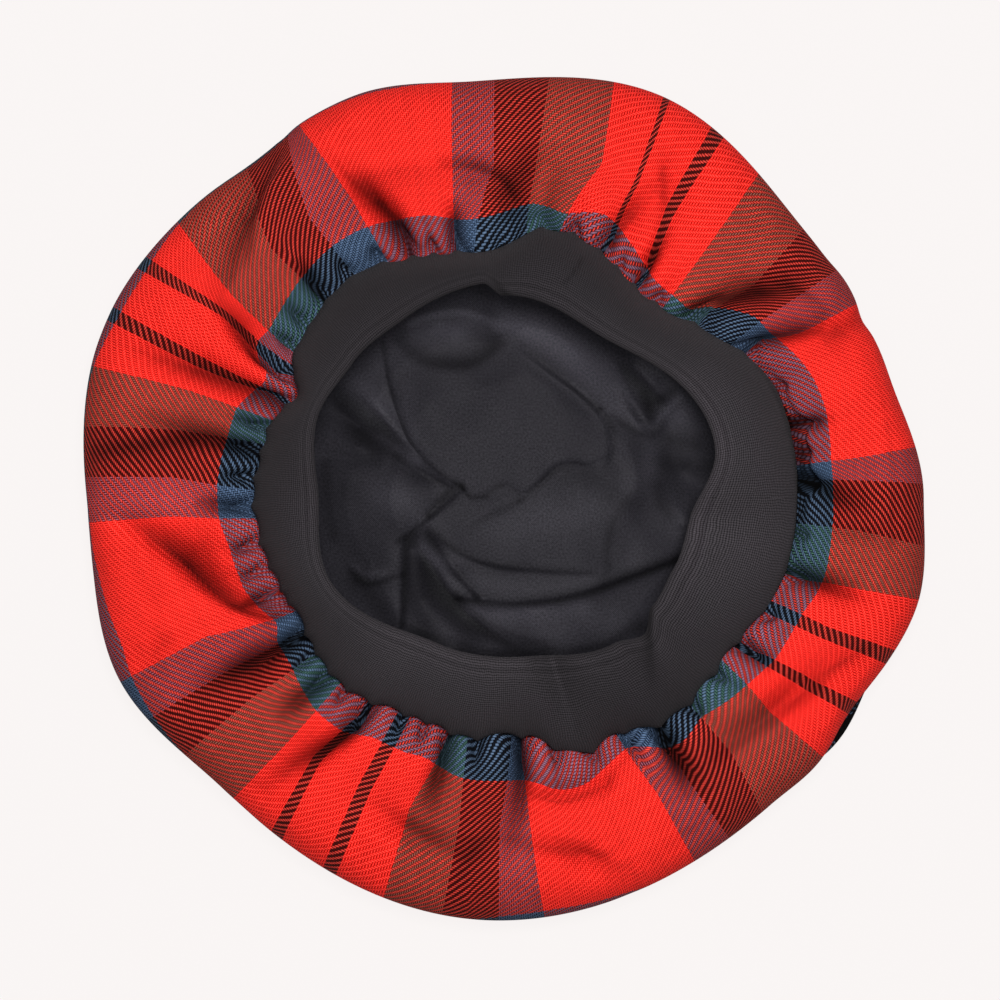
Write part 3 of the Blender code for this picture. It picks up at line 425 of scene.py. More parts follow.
# Where the stripes run on the strip. A row for each stripe edge or thin line of a repeat: thread,
# then in each of the four repeats its angle at the rim, in the middle and at the band seam.
STRIPES = [
    (0, (7.05, 6.4, 6.3), (97.0, 98.9, 100.8), (183.4, 183.2, 184.8), (275.6, 274.6, 274.2)),
    (72, (28.8, 29.1, 30.8), (118.9, 117.0, 116.1), (205.7, 205.0, 208.8), (297.8, 297.5, 295.5)),
    (92, (34.4, 34.5, 34.4), (120.7, 124.8, 123.9), (212.0, 212.1, 213.3), (303.6, 303.2, 303.7)),
    (118, (41.9, 40.4, 41.5), (127.7, 133.0, 132.3), (218.9, 218.4, 219.6), (309.3, 311.8, 312.0)),
    (148, (51.8, 50.9, 50.1), (139.6, 143.4, 145.4), (228.0, 228.6, 228.6), (320.9, 321.2, 323.7)),
    (167, (58.6, 59.0, 57.3), (146.0, 145.9, 147.6), (235.2, 233.6, 236.2), (328.0, 327.6, 327.2)),
    (173, (60.7, 60.8, 58.4), (147.9, 147.1, 149.6), (237.1, 235.2, 237.8), (330.0, 329.5, 328.8)),
    (193, (67.4, 66.8, 67.9), (153.9, 155.0, 155.8), (244.0, 243.2, 243.8), (336.6, 336.2, 336.5)),
    (199, (68.2, 67.5, 68.7), (155.8, 156.8, 157.0), (246.0, 245.6, 246.8), (338.7, 338.3, 339.0)),
    (218, (75.2, 73.6, 78.6), (162.3, 161.1, 161.3), (253.3, 253.2, 257.0), (346.3, 345.5, 345.0)),
    (248, (83.8, 84.4, 84.9), (170.4, 168.2, 167.4), (261.6, 262.3, 261.5), (353.4, 354.8, 355.1)),
    (274, (91.2, 91.6, 97.5), (177.1, 176.4, 178.2), (269.3, 269.3, 272.0), (361.9, 362.9, 363.6)),
]
STRIPE_MIDDLE = 0.45        # share of the way from the band seam to the rim of the middle angles
# Across the strip the weft runs blue, red, blue. How far outside the band's edge the red begins,
# by angle, and how far inside the rim it ends (negative is out of sight).
WEFT_PITCH = 0.555           # from one weft thread to the next
SEAM_BLUE_WIDTH = [
    (0, 11.5), (6, 11), (15, 12.5), (22, 12), (32, 10.4), (36, 12), (40, 9), (45, 2), (50, 4), (56, 5),
    (63, 8), (70, 10), (74, 7), (78, 3.5), (84, 8), (98, 9), (105, 12), (116, 12), (128, 10.6),
    (145, 10), (148, 13), (151, 10), (170, 11), (184, 10.3), (190, 9), (200, 10), (205, 8),
    (209, 5), (212.5, 9), (218, 8), (228, 10.5), (236, 11.5), (241, 9), (249, 10.5), (253, 9.5),
    (262, 12), (275, 13.5), (280, 13.8), (286, 8.5), (290, 5.5), (297, 3.8), (301, 5.6), (306, 7),
    (312, 4.2), (319, 8), (329, 12), (339, 10.5), (345, 12.4), (355, 11.5),
]
RIM_BLUE_INSET = [
    (0, -11), (20, -13), (40, -8), (50, -1.5), (85, -2.5), (95, -0.3), (106, 1.2), (116, 0.5),
    (136, 0.5), (141, 1.5), (149, 3.9), (155, 3.6), (164, 0.5), (180, 0.3), (187, 0.8), (195, 3.6),
    (201, 6.1), (209, 3.7), (216, 1.0), (222, -0.8), (232, -3), (256, -3), (266, 0.3), (270, 1.9),
    (277, 2.7), (287, 1.2), (292, -0.6), (305, -4), (330, -8), (350, -11),
]
# The crown's own threads at the middle of the hat: warp, weft.
CROWN_THREADS = (81.9, 250.1)

# ------------------------------------------------------------------ how finely the pieces are divided
STRIP_GRID = (720, 66)       # columns round the hat, rows
# Share of the way from the band seam to the rim at which the strip's columns are evenly spaced
# along the cloth.
EVEN_COLUMNS = 0.12
CROWN_GRID = (360, 14, 60)   # columns, rows at the edge, rows on the floor and over the toorie
BAND_GRID = (480, 60)        # columns, rows on each face
BAND_TIP = 7                 # rows round the fold
LINING_GRID = (480, 12, 92)  # columns, rows down the wall, rows over the floor
TOORIE_GRID = (48, 24)       # columns, rows
FINE_TURN = np.arange(0.0, 360.0, 0.25)

# ------------------------------------------------------------------ the stage
FLOOR_SIZE, FLOOR_DROP = 6.0, 0.0002
FLOOR_SHADE = 0.04           # share of the floor's brightness that a shadow can take away
FLOOR_LIGHT = 2.04           # brightness of a white matt card on the floor under the lamps
WORLD_LIGHT = 0.26
# Name, place, width of the soft light and its power.
SOFTBOXES = [
    ("key_softbox", (0.10, 0.30, 2.10), 0.45, 76.0),
    ("top_softbox", (-0.15, -0.20, 2.15), 0.8, 17.0),
]
# The camera looks straight down on a square this wide, at this level and distance.
VIEW_WIDTH, VIEW_LEVEL, VIEW_DISTANCE = 1.0 / 3.0, 0.03, 3.0
VIEW_CENTRE = (-0.00117, -0.00067)


# ------------------------------------------------------------------ curves
def eased(rows, angles):
    """A closed curve through crest and trough rows, level at each of them."""
    stations = np.array([row[0] for row in rows] + [rows[0][0] + 360.0])
    values = np.array([row[1] for row in rows] + [rows[0][1]])
    wanted = np.mod(np.asarray(angles) - stations[0], 360.0) + stations[0]
    index = np.clip(np.searchsorted(stations, wanted, side="right") - 1, 0, len(rows) - 1)
    share = (wanted - stations[index]) / (stations[index + 1] - stations[index])
    share = share * share * (3.0 - 2.0 * share)
    return values[index] + (values[index + 1] - values[index]) * share


def even_round(rows, angles, spread):
    """A closed curve through rows of angle and value, its turns rounded over spread degrees."""
    values = np.interp(FINE_TURN, *np.array(rows, float).T, period=360.0)
    side = int(10.0 * spread)
    weights = np.exp(-(np.arange(-side, side + 1) * FINE_TURN[1] / spread) ** 2)
    padded = np.concatenate((values[-side:], values, values[:side]))
    even = np.convolve(padded, weights / weights.sum(), mode="valid")
    return np.interp(angles, FINE_TURN, even, period=360.0)


def ring(rows, centre):
    """The radius about the hat's middle, by angle, of an outline measured about its own."""
    reach = eased(rows, FINE_TURN)
    x = centre[0] + reach * np.cos(np.radians(FINE_TURN))
    y = centre[1] + reach * np.sin(np.radians(FINE_TURN))
    bearing = np.degrees(np.arctan2(y, x))
    radius = np.hypot(x, y) * MM
    return lambda angles: np.interp(angles, bearing, radius, period=360.0)


rim_radius = ring(RIM_LOBES, (0.0, 0.0))
seam_radius = ring(SEAM_LOBES, SEAM_CENTRE)
opening_radius = ring(OPENING_LOBES, OPENING_CENTRE)


def smooth_through(knots, values, places):
    """A smooth curve through the values at the knots, read off at other places."""
    knots, values = np.asarray(knots, float), np.asarray(values, float)
    slopes = np.gradient(values, knots, axis=0)
    index = np.clip(np.searchsorted(knots, places, side="right") - 1, 0, len(knots) - 2)
    span = knots[index + 1] - knots[index]
    share = (places - knots[index]) / span
    if values.ndim > 1:
        span, share = span[:, None], share[:, None]
    rest = 1.0 - share
    return (
        values[index] * (1.0 + 2.0 * share) * rest ** 2
        + values[index + 1] * (3.0 - 2.0 * share) * share ** 2
        + slopes[index] * span * share * rest ** 2
        - slopes[index + 1] * span * rest * share ** 2
    )


def even_curve(points, count):
    """Evenly spaced points along a smooth curve through a few given ones."""
    points = np.asarray(points, float)
    steps = np.linalg.norm(np.diff(points, axis=0), axis=1)
    knots = np.concatenate(([0.0], np.cumsum(steps)))
    return smooth_through(knots, points, np.linspace(0.0, knots[-1], count))


def polar(angles, radii):
    """Plan positions at angles in degrees."""
    return radii * np.cos(np.radians(angles)), radii * np.sin(np.radians(angles))


def turned_by(angles, middle):
    """Degrees from a middle angle, from -180 to 180."""
    return (angles - middle + 180.0) % 360.0 - 180.0


def smoothstep(low, high, value):
    """0 on the far side of low, 1 past high, and an even slope between. Low may be the greater."""
    share = np.clip((value - low) / (high - low), 0.0, 1.0)
    return share * share * (3.0 - 2.0 * share)


# ------------------------------------------------------------------ folds and ripples
def fold_relief(x, y, folds):
    """The summed height in metres of the folds at plan points. Each point is measured from the
    nearest stretch of a fold's path: how far away, on which side, and how far along."""
    relief = np.zeros_like(x)
    for path, start, middle, end, left, right, spread, softness in folds:
        curve = even_curve(path, 4 * len(path)) * MM
        steps = np.linalg.norm(np.diff(curve, axis=0), axis=1)
        walked = np.concatenate(([0.0], np.cumsum(steps))) / steps.sum()
        nearest = np.full(x.shape, np.inf)
        side = np.zeros_like(x)
        along = np.zeros_like(x)
        for (ax, ay), (bx, by), before, after in zip(curve, curve[1:], walked, walked[1:]):
            run_x, run_y = bx - ax, by - ay
            share = ((x - ax) * run_x + (y - ay) * run_y) / (run_x ** 2 + run_y ** 2)
            share = np.clip(share, 0.0, 1.0)
            off_x, off_y = x - ax - share * run_x, y - ay - share * run_y
            away = np.hypot(off_x, off_y)
            closer = away < nearest
            nearest = np.where(closer, away, nearest)
            turned = (run_x * off_y - run_y * off_x) / np.maximum(np.hypot(run_x, run_y) * away, 1e-12)
            side = np.where(closer, turned, side)
            along = np.where(closer, before + share * (after - before), along)
        height = np.interp(along, (0.0, 0.5, 1.0), (start, middle, end)) * MM
        flank = (left + right + (left - right) * np.clip(side, -1.0, 1.0)) * 0.5 * MM
        flank = flank * (1.0 + (spread - 1.0) * along)
        relief += height * np.exp(-(nearest / flank) ** softness)
    return relief


def ripples(x, y, rows):
    """The summed, seeded unrest of the cloth at plan points, each row of it about -1 to 1."""
    return sum(share * one_ripple(x, y, wavelength, seed) for wavelength, seed, share in rows)


def one_ripple(x, y, wavelength, seed):
    """Waves that run every way, each somewhat shorter or longer than the wavelength."""
    draw = np.random.default_rng(seed)
    total = np.zeros_like(x)
    waves, turn = 14, 2.0 * np.pi
    spans = ((0.0, turn), (0.7, 1.6), (0.0, turn))
    bearings, stretches, phases = (draw.uniform(*span, waves) for span in spans)
    for bearing, stretch, phase in zip(bearings, stretches, phases):
        reach = turn / (wavelength * stretch)
        total += np.sin(reach * (x * np.cos(bearing) + y * np.sin(bearing)) + phase)
    return total / np.sqrt(waves)


def polar_folds(folds):
    """The same folds with their paths turned from angle and radius to plan positions."""
    return [
        ([polar(angle, radius) for angle, radius in path], *shape) for path, *shape in folds
    ]


# ------------------------------------------------------------------ meshes
def ring_mesh(name, points, threads, pole=False, shade=None):
    """A mesh wrapped round the hat. points is (rows, columns, 3), threads, its UV map in
    threads, is (rows, columns + 1, 2), and shade, how dark it is, is (rows, columns). With pole,
    the last row is one point."""
    rows, columns = points.shape[:2]
    bands = rows - 2 if pole else rows - 1
    here = np.arange(columns)
    following = (here + 1) % columns
    row = np.arange(bands)[:, None] * columns
    faces = np.stack((row + here, row + columns + here, row + columns + following, row + following), axis=-1)
    corner_rows = np.arange(bands)[:, None] + np.array((0, 1, 1, 0))
    corner_columns = here[:, None] + np.array((0, 0, 1, 1))
    corners = threads[corner_rows[:, None, :], corner_columns[None, :, :]].reshape(-1, 2)
    vertices = points.reshape(-1, 3)
    face_list = faces.reshape(-1, 4).tolist()
    if pole:
        tip = (rows - 1) * columns
        last = tip - columns
        vertices = vertices[: tip + 1]
        face_list += [(last + a, tip, last + b) for a, b in zip(here, following)]
        middle = threads[-1, :-1] * 0.5 + threads[-1, 1:] * 0.5
        fan = np.stack((threads[-2, :-1], middle, threads[-2, 1:]), axis=1).reshape(-1, 2)
        corners = np.concatenate((corners, fan))
    mesh = bpy.data.meshes.new(name)
    mesh.from_pydata(vertices.tolist(), [], face_list)
    layer = mesh.uv_layers.new(name="threads")
    layer.uv.foreach_set("vector", corners.astype(np.float32).ravel())
    if shade is not None:
        dark = mesh.attributes.new("shade", "FLOAT", "POINT")
        dark.data.foreach_set("value", shade.reshape(-1)[: len(mesh.vertices)].astype(np.float32))
    mesh.shade_smooth()
    piece = bpy.data.objects.new(name, mesh)
    bpy.context.scene.collection.objects.link(piece)
    return piece


def bake_modifiers(piece):
    """Turn what the modifiers make into the piece's own plain mesh."""
    bpy.context.view_layer.update()
    finished = bpy.data.meshes.new_from_object(piece.evaluated_get(bpy.context.evaluated_depsgraph_get()))
    piece.modifiers.clear()
    piece.data = finished
    finished.name = piece.name


def give_wall(piece, thickness, offset=-1.0):
    """Turn an open sheet into a closed wall, its good face kept where it is."""
    wall = piece.modifiers.new("wall", "SOLIDIFY")
    wall.thickness = thickness
    wall.offset = offset
    wall.use_even_offset = False
    bake_modifiers(piece)


def surface_normals(points):
    """Unit normals of a wrapped grid of points, on the side of the opening."""
    along = np.gradient(points, axis=0)
    around = np.roll(points, -1, axis=1) - np.roll(points, 1, axis=1)
    normals = np.cross(along, around)
    return normals / np.maximum(np.linalg.norm(normals, axis=2, keepdims=True), 1e-12)


def wear(piece, node, material):
    """Dress a piece in its material and let it stand for its node."""
    piece.data.materials.clear()
    piece.data.materials.append(material)
    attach(piece, "root")
    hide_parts(node)


# ------------------------------------------------------------------ materials
class Shading:
    """One material and a short way to add and join its nodes."""

    def __init__(self, name):
        self.material = bpy.data.materials.new(name)
        self.material.use_nodes = True
        self.nodes = self.material.node_tree.nodes
        self.links = self.material.node_tree.links
        self.shader = self.nodes["Principled BSDF"]

    def add(self, kind, values=(), **settings):
        """A node with its settings and its inputs, which are numbers, colours or sockets."""
        node = self.nodes.new(kind)
        for key, value in settings.items():
            setattr(node, key, value)
        for index, value in enumerate(values):
            self.feed(node.inputs[index], value)
        return node

    def feed(self, socket, value):
        """Join a socket to another, or set its value."""
        if isinstance(value, bpy.types.NodeSocket):
            self.links.new(value, socket)
        else:
            socket.default_value = value

    def math(self, operation, *values):
        """The result of a Math node."""
        return self.add("ShaderNodeMath", values, operation=operation).outputs[0]

    def blend(self, kind, factor, first, second):
        """The colour of a Mix node."""
        node = self.add("ShaderNodeMix", data_type="RGBA", blend_type=kind)
        self.feed(node.inputs["Factor"], factor)
        self.feed(node.inputs["A"], first)
        self.feed(node.inputs["B"], second)
        return node.outputs["Result"]

    def uv(self):
        """The piece's thread coordinates, apart."""
        place = self.add("ShaderNodeUVMap", uv_map="threads").outputs[0]
        parts = self.add("ShaderNodeSeparateXYZ", (place,))
        return parts.outputs[0], parts.outputs[1]

    def square(self, value):
        """A number or socket times itself."""
        return self.math("MULTIPLY", value, value)

    def uneven(self, light, pattern, gain, least):
        """The light, made uneven: times least, and gain of a pattern more."""
        return self.math("MULTIPLY", light, self.math("MULTIPLY_ADD", pattern, gain, least))

    def noise(self, vector, scale, detail, roughness):
        """The grey of a Noise node."""
        node = self.add("ShaderNodeTexNoise")
        self.feed(node.inputs["Vector"], vector)
        self.feed(node.inputs["Scale"], scale)
        self.feed(node.inputs["Detail"], detail)
        self.feed(node.inputs["Roughness"], roughness)
        return node.outputs[0]

    def vector(self, x, y, z=0.0):
        """A vector from three numbers or sockets."""
        return self.add("ShaderNodeCombineXYZ", (x, y, z)).outputs[0]

    def grey(self, value):
        """A grey of one number or socket."""
        return self.vector(value, value, value)

    def red(self, colour):
        """The red part of a colour."""
        return self.add("ShaderNodeSeparateColor", (colour,)).outputs["Red"]

    def lit(self, light):
        """The same brightness, less by how far the cloth lies in its own shade."""
        shade = self.add("ShaderNodeAttribute", attribute_name="shade").outputs["Fac"]
        return self.math("MULTIPLY", light, self.math("SUBTRACT", 1.0, shade))

    def vector_math(self, operation, *values):
        """The vector of a Vector Math node."""
        return self.add("ShaderNodeVectorMath", values, operation=operation).outputs[0]

    def bump(self, height, distance):
        """The normal that a height gives."""
        node = self.add("ShaderNodeBump")
        self.feed(node.inputs["Distance"], distance)
        self.feed(node.inputs["Height"], height)
        return node.outputs[0]

    def set(self, **inputs):
        """Shader inputs by name, with underscores for spaces."""
        for key, value in inputs.items():
            self.feed(self.shader.inputs[key.replace("_", " ").title().replace("Ior", "IOR")], value)


def sett_colours(shading, thread, yarns, count_column):
    """The yarn colour of a whole thread, by its place in the repeat."""
    repeat = sum(row[count_column] for row in SETT)
    place = shading.math("FLOORED_MODULO", thread, repeat)
    colour = (*yarns[SETT[0][0]], 1.0)
    passed = 0
    for before, row in zip(SETT, SETT[1:]):
        passed += before[count_column]
        reached = shading.math("GREATER_THAN", place, passed - 0.5)
        colour = shading.blend("MIX", reached, colour, (*yarns[row[0]], 1.0))
    return colour


def tartan_material(name, colours):
    """Two-over-two twill in the four yarns, read from the piece's thread coordinates.

    The weft is packed closer than the warp and stands proud of it, so it covers more of the
    cloth. Light that reaches the gaps bounces between the yarns and takes on their colours.
    Sizes are in threads, heights in those of a yarn.
    """
    half_warp, arch_fall, weft_below_warp = 0.40, 0.60, 0.5
    crest_light, bounce_mix, bounce_gain = 0.09, 0.65, 1.1
    shading = Shading(name)
    yarns = {row[0]: getattr(colours, row[0] + "_yarn") for row in SETT}
    even_across, even_along = shading.uv()
    even_place = shading.vector(even_across, even_along)
    drift = shading.noise(even_place, scale=0.16, detail=2.0, roughness=0.6)
    unrest = shading.math("MULTIPLY_ADD", drift, 0.9, -0.45)
    across = shading.math("ADD", even_across, unrest)
    along = shading.math("SUBTRACT", even_along, unrest)
    warp_thread = shading.math("FLOOR", across)
    weft_thread = shading.math("FLOOR", along)
    step = shading.math("FLOORED_MODULO", shading.math("ADD", warp_thread, weft_thread), 4.0)
    warp_up = shading.math("LESS_THAN", step, 1.5)
    warp_side = shading.math("SUBTRACT", shading.math("FRACT", across), 0.5)
    weft_side = shading.math("SUBTRACT", shading.math("FRACT", along), 0.5)
    inside = shading.math("LESS_THAN", shading.math("ABSOLUTE", warp_side), half_warp)
    warp_seen = shading.math("MULTIPLY", warp_up, inside)

    def stands(side, floating, middle, top, roundness):
        """How high the yarn stands: round across itself, and arched along its float."""
        round_part = shading.math("MULTIPLY", shading.square(side), roundness)
        arch = shading.square(shading.math("SUBTRACT", floating, middle))
        arch = shading.math("MULTIPLY", arch, arch_fall)
        return shading.math("SUBTRACT", shading.math("SUBTRACT", top, round_part), arch)

    warp_float = shading.math("FLOORED_MODULO", shading.math("ADD", warp_thread, along), 4.0)
    weft_float = shading.math("FLOORED_MODULO", shading.math("ADD", across, weft_thread), 4.0)
    warp_height = stands(warp_side, warp_float, middle=1.0, top=1.0, roundness=9.0)
    weft_height = stands(weft_side, weft_float, middle=3.0, top=1.05, roundness=4.0)
    weft_height = shading.math("SUBTRACT", weft_height, shading.math("MULTIPLY", warp_up, weft_below_warp))

    def choose(first, second):
        """The second number where the warp is seen, else the first."""
        node = shading.add("ShaderNodeMix", data_type="FLOAT")
        shading.feed(node.inputs["Factor"], warp_seen)
        shading.feed(node.inputs["A"], first)
        shading.feed(node.inputs["B"], second)
        return node.outputs["Result"]

    height = shading.math("MAXIMUM", choose(weft_height, warp_height), 0.0)
    warp_colour = sett_colours(shading, warp_thread, yarns, 1)
    weft_colour = sett_colours(shading, weft_thread, yarns, 2)
    upper = shading.blend("MIX", warp_seen, weft_colour, warp_colour)
    lower = shading.blend("MIX", warp_seen, warp_colour, weft_colour)

    # fibres drawn out along whichever yarn is seen
    run = shading.vector(
        shading.math("MULTIPLY", across, choose(0.5, 1.6)), shading.math("MULTIPLY", along, choose(1.6, 0.5))
    )
    fibre = shading.noise(run, scale=1.3, detail=2.0, roughness=0.65)
    thread = choose(shading.math("ADD", weft_thread, 0.5), shading.math("ADD", warp_thread, 900.5))
    strength = shading.add("ShaderNodeTexWhiteNoise", noise_dimensions="1D")
    shading.feed(strength.inputs["W"], thread)
    patches = shading.noise(even_place, scale=0.035, detail=2.0, roughness=0.5)
    # painted shade between the yarns: how much of the light gets out straight, without a bounce
    open_share = shading.math("MULTIPLY_ADD", height, 0.36, 0.03)
    open_share = shading.uneven(open_share, fibre, gain=0.9, least=0.55)
    open_share = shading.math("MINIMUM", open_share, 1.0)
    closed_share = shading.math("SUBTRACT", 1.0, open_share)

    # red hairs reach over the other yarns, most over the thin warp
    upper_light = shading.add("ShaderNodeRGBToBW", (upper,)).outputs[0]
    lower_light = shading.add("ShaderNodeRGBToBW", (lower,)).outputs[0]
    likeness = shading.math("MINIMUM", shading.math("DIVIDE", upper_light, lower_light), 1.0)
    likeness = shading.math("SQRT", likeness)
    redder = shading.math("MAXIMUM", shading.math("SUBTRACT", shading.red(lower), shading.red(upper)), 0.0)
    hairs = shading.math("MULTIPLY", shading.math("MULTIPLY", likeness, redder), choose(0.24, 0.50))
    fuzzy = shading.blend("MIX", hairs, upper, lower)
    direct = shading.vector_math("MULTIPLY", fuzzy, shading.grey(open_share))
    # painted light that bounces between the yarns, in a mix of both their colours
    bounced = shading.blend("MIX", bounce_mix, upper, lower)
    bounce_share = shading.math("MULTIPLY", closed_share, bounce_gain)
    bounced = shading.vector_math("MULTIPLY", bounced, shading.grey(bounce_share))
    colour = shading.vector_math("DIVIDE", direct, shading.vector_math("SUBTRACT", (1.0, 1.0, 1.0), bounced))
    # and a painted highlight makes the crest of each yarn paler, where its own hairs catch the light
    crest = shading.math("MULTIPLY", shading.square(height), upper_light)
    crest = shading.math("MULTIPLY", crest, crest_light)
    colour = shading.vector_math("ADD", colour, shading.grey(crest))
    patch_shade = shading.math("MULTIPLY_ADD", patches, 0.14, 0.93)
    light = shading.lit(shading.uneven(patch_shade, strength.outputs["Value"], gain=0.22, least=0.89))
    colour = shading.vector_math("MULTIPLY", colour, shading.grey(light))

    relief = shading.math("ADD", height, shading.math("MULTIPLY", fibre, 0.5))
    normal = shading.bump(relief, 0.00012)
    shading.set(base_color=colour, roughness=0.9, specular_ior_level=0.04, normal=normal)
    return shading.material


def knit_material(colours, fold_course):
    """Fine black elastic knit: wales across the band, courses round it, and near its fold painted
    light on two courses and painted shade on one."""
    shading = Shading("black_knit")
    even_wale, even_course = shading.uv()
    place = shading.vector(even_wale, even_course)
    drift = shading.noise(place, scale=0.09, detail=3.0, roughness=0.6)
    unrest = shading.math("MULTIPLY_ADD", drift, 2.4, -1.2)
    wale, course = shading.math("ADD", even_wale, unrest), shading.math("ADD", even_course, unrest)
    column = shading.math("ABSOLUTE", shading.math("SUBTRACT", shading.math("FRACT", wale), 0.5))
    loop = shading.math("ABSOLUTE", shading.math("SUBTRACT", shading.math("FRACT", course), 0.5))
    between_loops = shading.math("MULTIPLY", shading.square(loop), 2.4)
    between_columns = shading.math("MULTIPLY", shading.square(column), 1.8)
    height = shading.math("SUBTRACT", shading.math("SUBTRACT", 1.0, between_loops), between_columns)
    fuzz = shading.noise(place, scale=1.1, detail=4.0, roughness=0.75)
    mottle = shading.noise(place, scale=0.02, detail=4.0, roughness=0.6)
    light = shading.math("MAXIMUM", shading.math("MULTIPLY_ADD", height, 2.0, -0.3), 0.1)
    light = shading.uneven(light, fuzz, gain=1.5, least=0.25)
    light = shading.uneven(light, mottle, gain=0.5, least=0.75)
    # painted light on two courses near the fold, and painted shade on the one between them
    for course_back, width, gain in ((1.5, 0.9, 0.20), (3.6, 0.8, -0.12), (5.6, 0.8, 0.16)):
        away = shading.math("SUBTRACT", even_course, fold_course - course_back)
        away = shading.math("DIVIDE", away, width)
        peak = shading.math("EXPONENT", shading.math("MULTIPLY", shading.square(away), -1.0))
        light = shading.uneven(light, peak, gain, least=1.0)
    colour = shading.vector_math("MULTIPLY", tuple(colours.knit), shading.grey(shading.lit(light)))
    relief = shading.math("ADD", height, shading.math("MULTIPLY", fuzz, 0.8))
    shading.set(
        base_color=colour, roughness=0.9, specular_ior_level=0.06, normal=shading.bump(relief, 0.00012),
        sheen_weight=0.02, sheen_roughness=0.5, sheen_tint=(1.0, 0.95, 1.0, 1.0),
    )
    return shading.material


def lining_material(colours):
    """Black plain-woven lining with a slight sheen."""
    shading = Shading("black_lining")
    across, along = shading.uv()
    warp = shading.math("SINE", shading.math("MULTIPLY", across, np.pi))
    weft = shading.math("SINE", shading.math("MULTIPLY", along, np.pi))
    weave = shading.math("MULTIPLY", warp, weft)
    place = shading.vector(across, along)
    drawn_out = shading.vector(shading.math("MULTIPLY", across, 0.12), along)
    slub = shading.noise(drawn_out, scale=1.3, detail=3.0, roughness=0.6)
    mottle = shading.noise(place, scale=0.02, detail=4.0, roughness=0.6)
    grain = shading.noise(place, scale=0.5, detail=1.0, roughness=0.5)
    light = shading.uneven(shading.math("MULTIPLY_ADD", slub, 0.4, 0.8), grain, gain=1.4, least=0.3)
    light = shading.lit(shading.uneven(light, mottle, gain=0.3, least=0.85))
    colour = shading.vector_math("MULTIPLY", tuple(colours.lining), shading.grey(light))
    relief = shading.math("ADD", weave, slub)
    # its sheen and gloss fade in the painted shade too
    open_share = shading.math("MULTIPLY_ADD", shading.lit(1.0), 0.8, 0.2)
    open_share = shading.uneven(open_share, grain, gain=1.4, least=0.3)
    shading.set(
        base_color=colour, roughness=0.7, normal=shading.bump(relief, 0.00004), sheen_roughness=0.4,
        sheen_tint=(0.95, 0.94, 1.0, 1.0), specular_tint=(1.0, 0.98, 1.0, 1.0),
    )
    # each socket also holds its usual value, for an export that drops what is joined to it
    usual_share = 0.8
    for label, most in (("Sheen Weight", 0.03), ("Specular IOR Level", 0.12)):
        socket = shading.shader.inputs[label]
        socket.default_value = usual_share * most
        shading.feed(socket, shading.math("MULTIPLY", open_share, most))
    return shading.material


def yarn_material(colours):
    """Soft red yarn of the toorie."""
    shading = Shading("red_yarn")
    place = shading.add("ShaderNodeTexCoord").outputs["Object"]
    strand = shading.noise(place, scale=900.0, detail=3.0, roughness=0.6)
    clump = shading.noise(place, scale=120.0, detail=2.0, roughness=0.5)
    light = shading.uneven(shading.math("MULTIPLY_ADD", strand, 0.7, 0.6), clump, gain=0.4, least=0.8)
    colour = shading.vector_math("MULTIPLY", tuple(colours.toorie_yarn), shading.grey(light))
    shading.set(
        base_color=colour, roughness=0.9, normal=shading.bump(strand, 0.0002),
        sheen_weight=0.3, sheen_roughness=0.5,
    )
    return shading.material


# ------------------------------------------------------------------ the settings a user changes
class TamSizes(bpy.types.PropertyGroup):
    """Sizes of the cloth and its folds."""

    thread_pitch: FloatProperty(
        name="Thread pitch", description="Distance from one tartan thread to the next",
        default=0.0007, min=0.0003, max=0.002, unit="LENGTH", precision=5,
    )
    tartan_wall: FloatProperty(
        name="Tartan thickness", description="Thickness of the woven cloth",
        default=0.0013, min=0.0005, max=0.003, unit="LENGTH", precision=4,
    )
    lining_wall: FloatProperty(
        name="Lining thickness", description="Thickness of the lining cloth",
        default=0.0006, min=0.0002, max=0.002, unit="LENGTH", precision=4,
    )
    band_wall: FloatProperty(
        name="Band thickness", description="Thickness of the doubled knit",
        default=0.0030, min=0.001, max=0.006, unit="LENGTH", precision=4,
    )
    knit_pitch: FloatProperty(
        name="Knit pitch", description="Distance from one course of the band's knit to the next",
        default=0.00077, min=0.0003, max=0.002, unit="LENGTH", precision=5,
    )
    gather_puff: FloatProperty(
        name="Gather puff", description="How far the cloth puffs up between two gathers at the band",
        default=0.0044, min=0.0, max=0.008, unit="LENGTH", precision=4,
    )
    cloth_ripple: FloatProperty(
        name="Cloth ripple", description="Unevenness of the tartan between its folds",
        default=0.0006, min=0.0, max=0.002, unit="LENGTH", precision=5,
    )
    strand_count: IntProperty(
        name="Toorie strands", description="Yarn ends on the toorie, about", default=990, min=100, max=4000,
    )


class TamColours(bpy.types.PropertyGroup):
    """Colours of the yarns and cloths, linear."""

    red_yarn: FloatVectorProperty(
        name="Red yarn", description="The tartan's ground", subtype="COLOR", default=(0.82, 0.044, 0.022),
    )
    blue_yarn: FloatVectorProperty(
        name="Blue yarn", description="The blue stripes", subtype="COLOR", default=(0.102, 0.172, 0.285),
    )
    black_yarn: FloatVectorProperty(
        name="Black yarn", description="The black stripes and lines", subtype="COLOR",
        default=(0.007, 0.005, 0.0065),
    )
    green_yarn: FloatVectorProperty(
        name="Green yarn", description="The green stripes", subtype="COLOR", default=(0.070, 0.185, 0.128),
    )
    knit: FloatVectorProperty(
        name="Band knit", description="The headband", subtype="COLOR", default=(0.0208, 0.0182, 0.0206),
    )
    lining: FloatVectorProperty(
        name="Lining", description="The lining cloth", subtype="COLOR", default=(0.0086, 0.0080, 0.0104),
    )
    toorie_yarn: FloatVectorProperty(
        name="Toorie yarn", description="The toorie", subtype="COLOR", default=(0.80, 0.030, 0.020),
    )
    floor: FloatVectorProperty(
        name="Floor", description="The pale surface it lies on", subtype="COLOR",
        default=(0.948, 0.913, 0.905),
    )


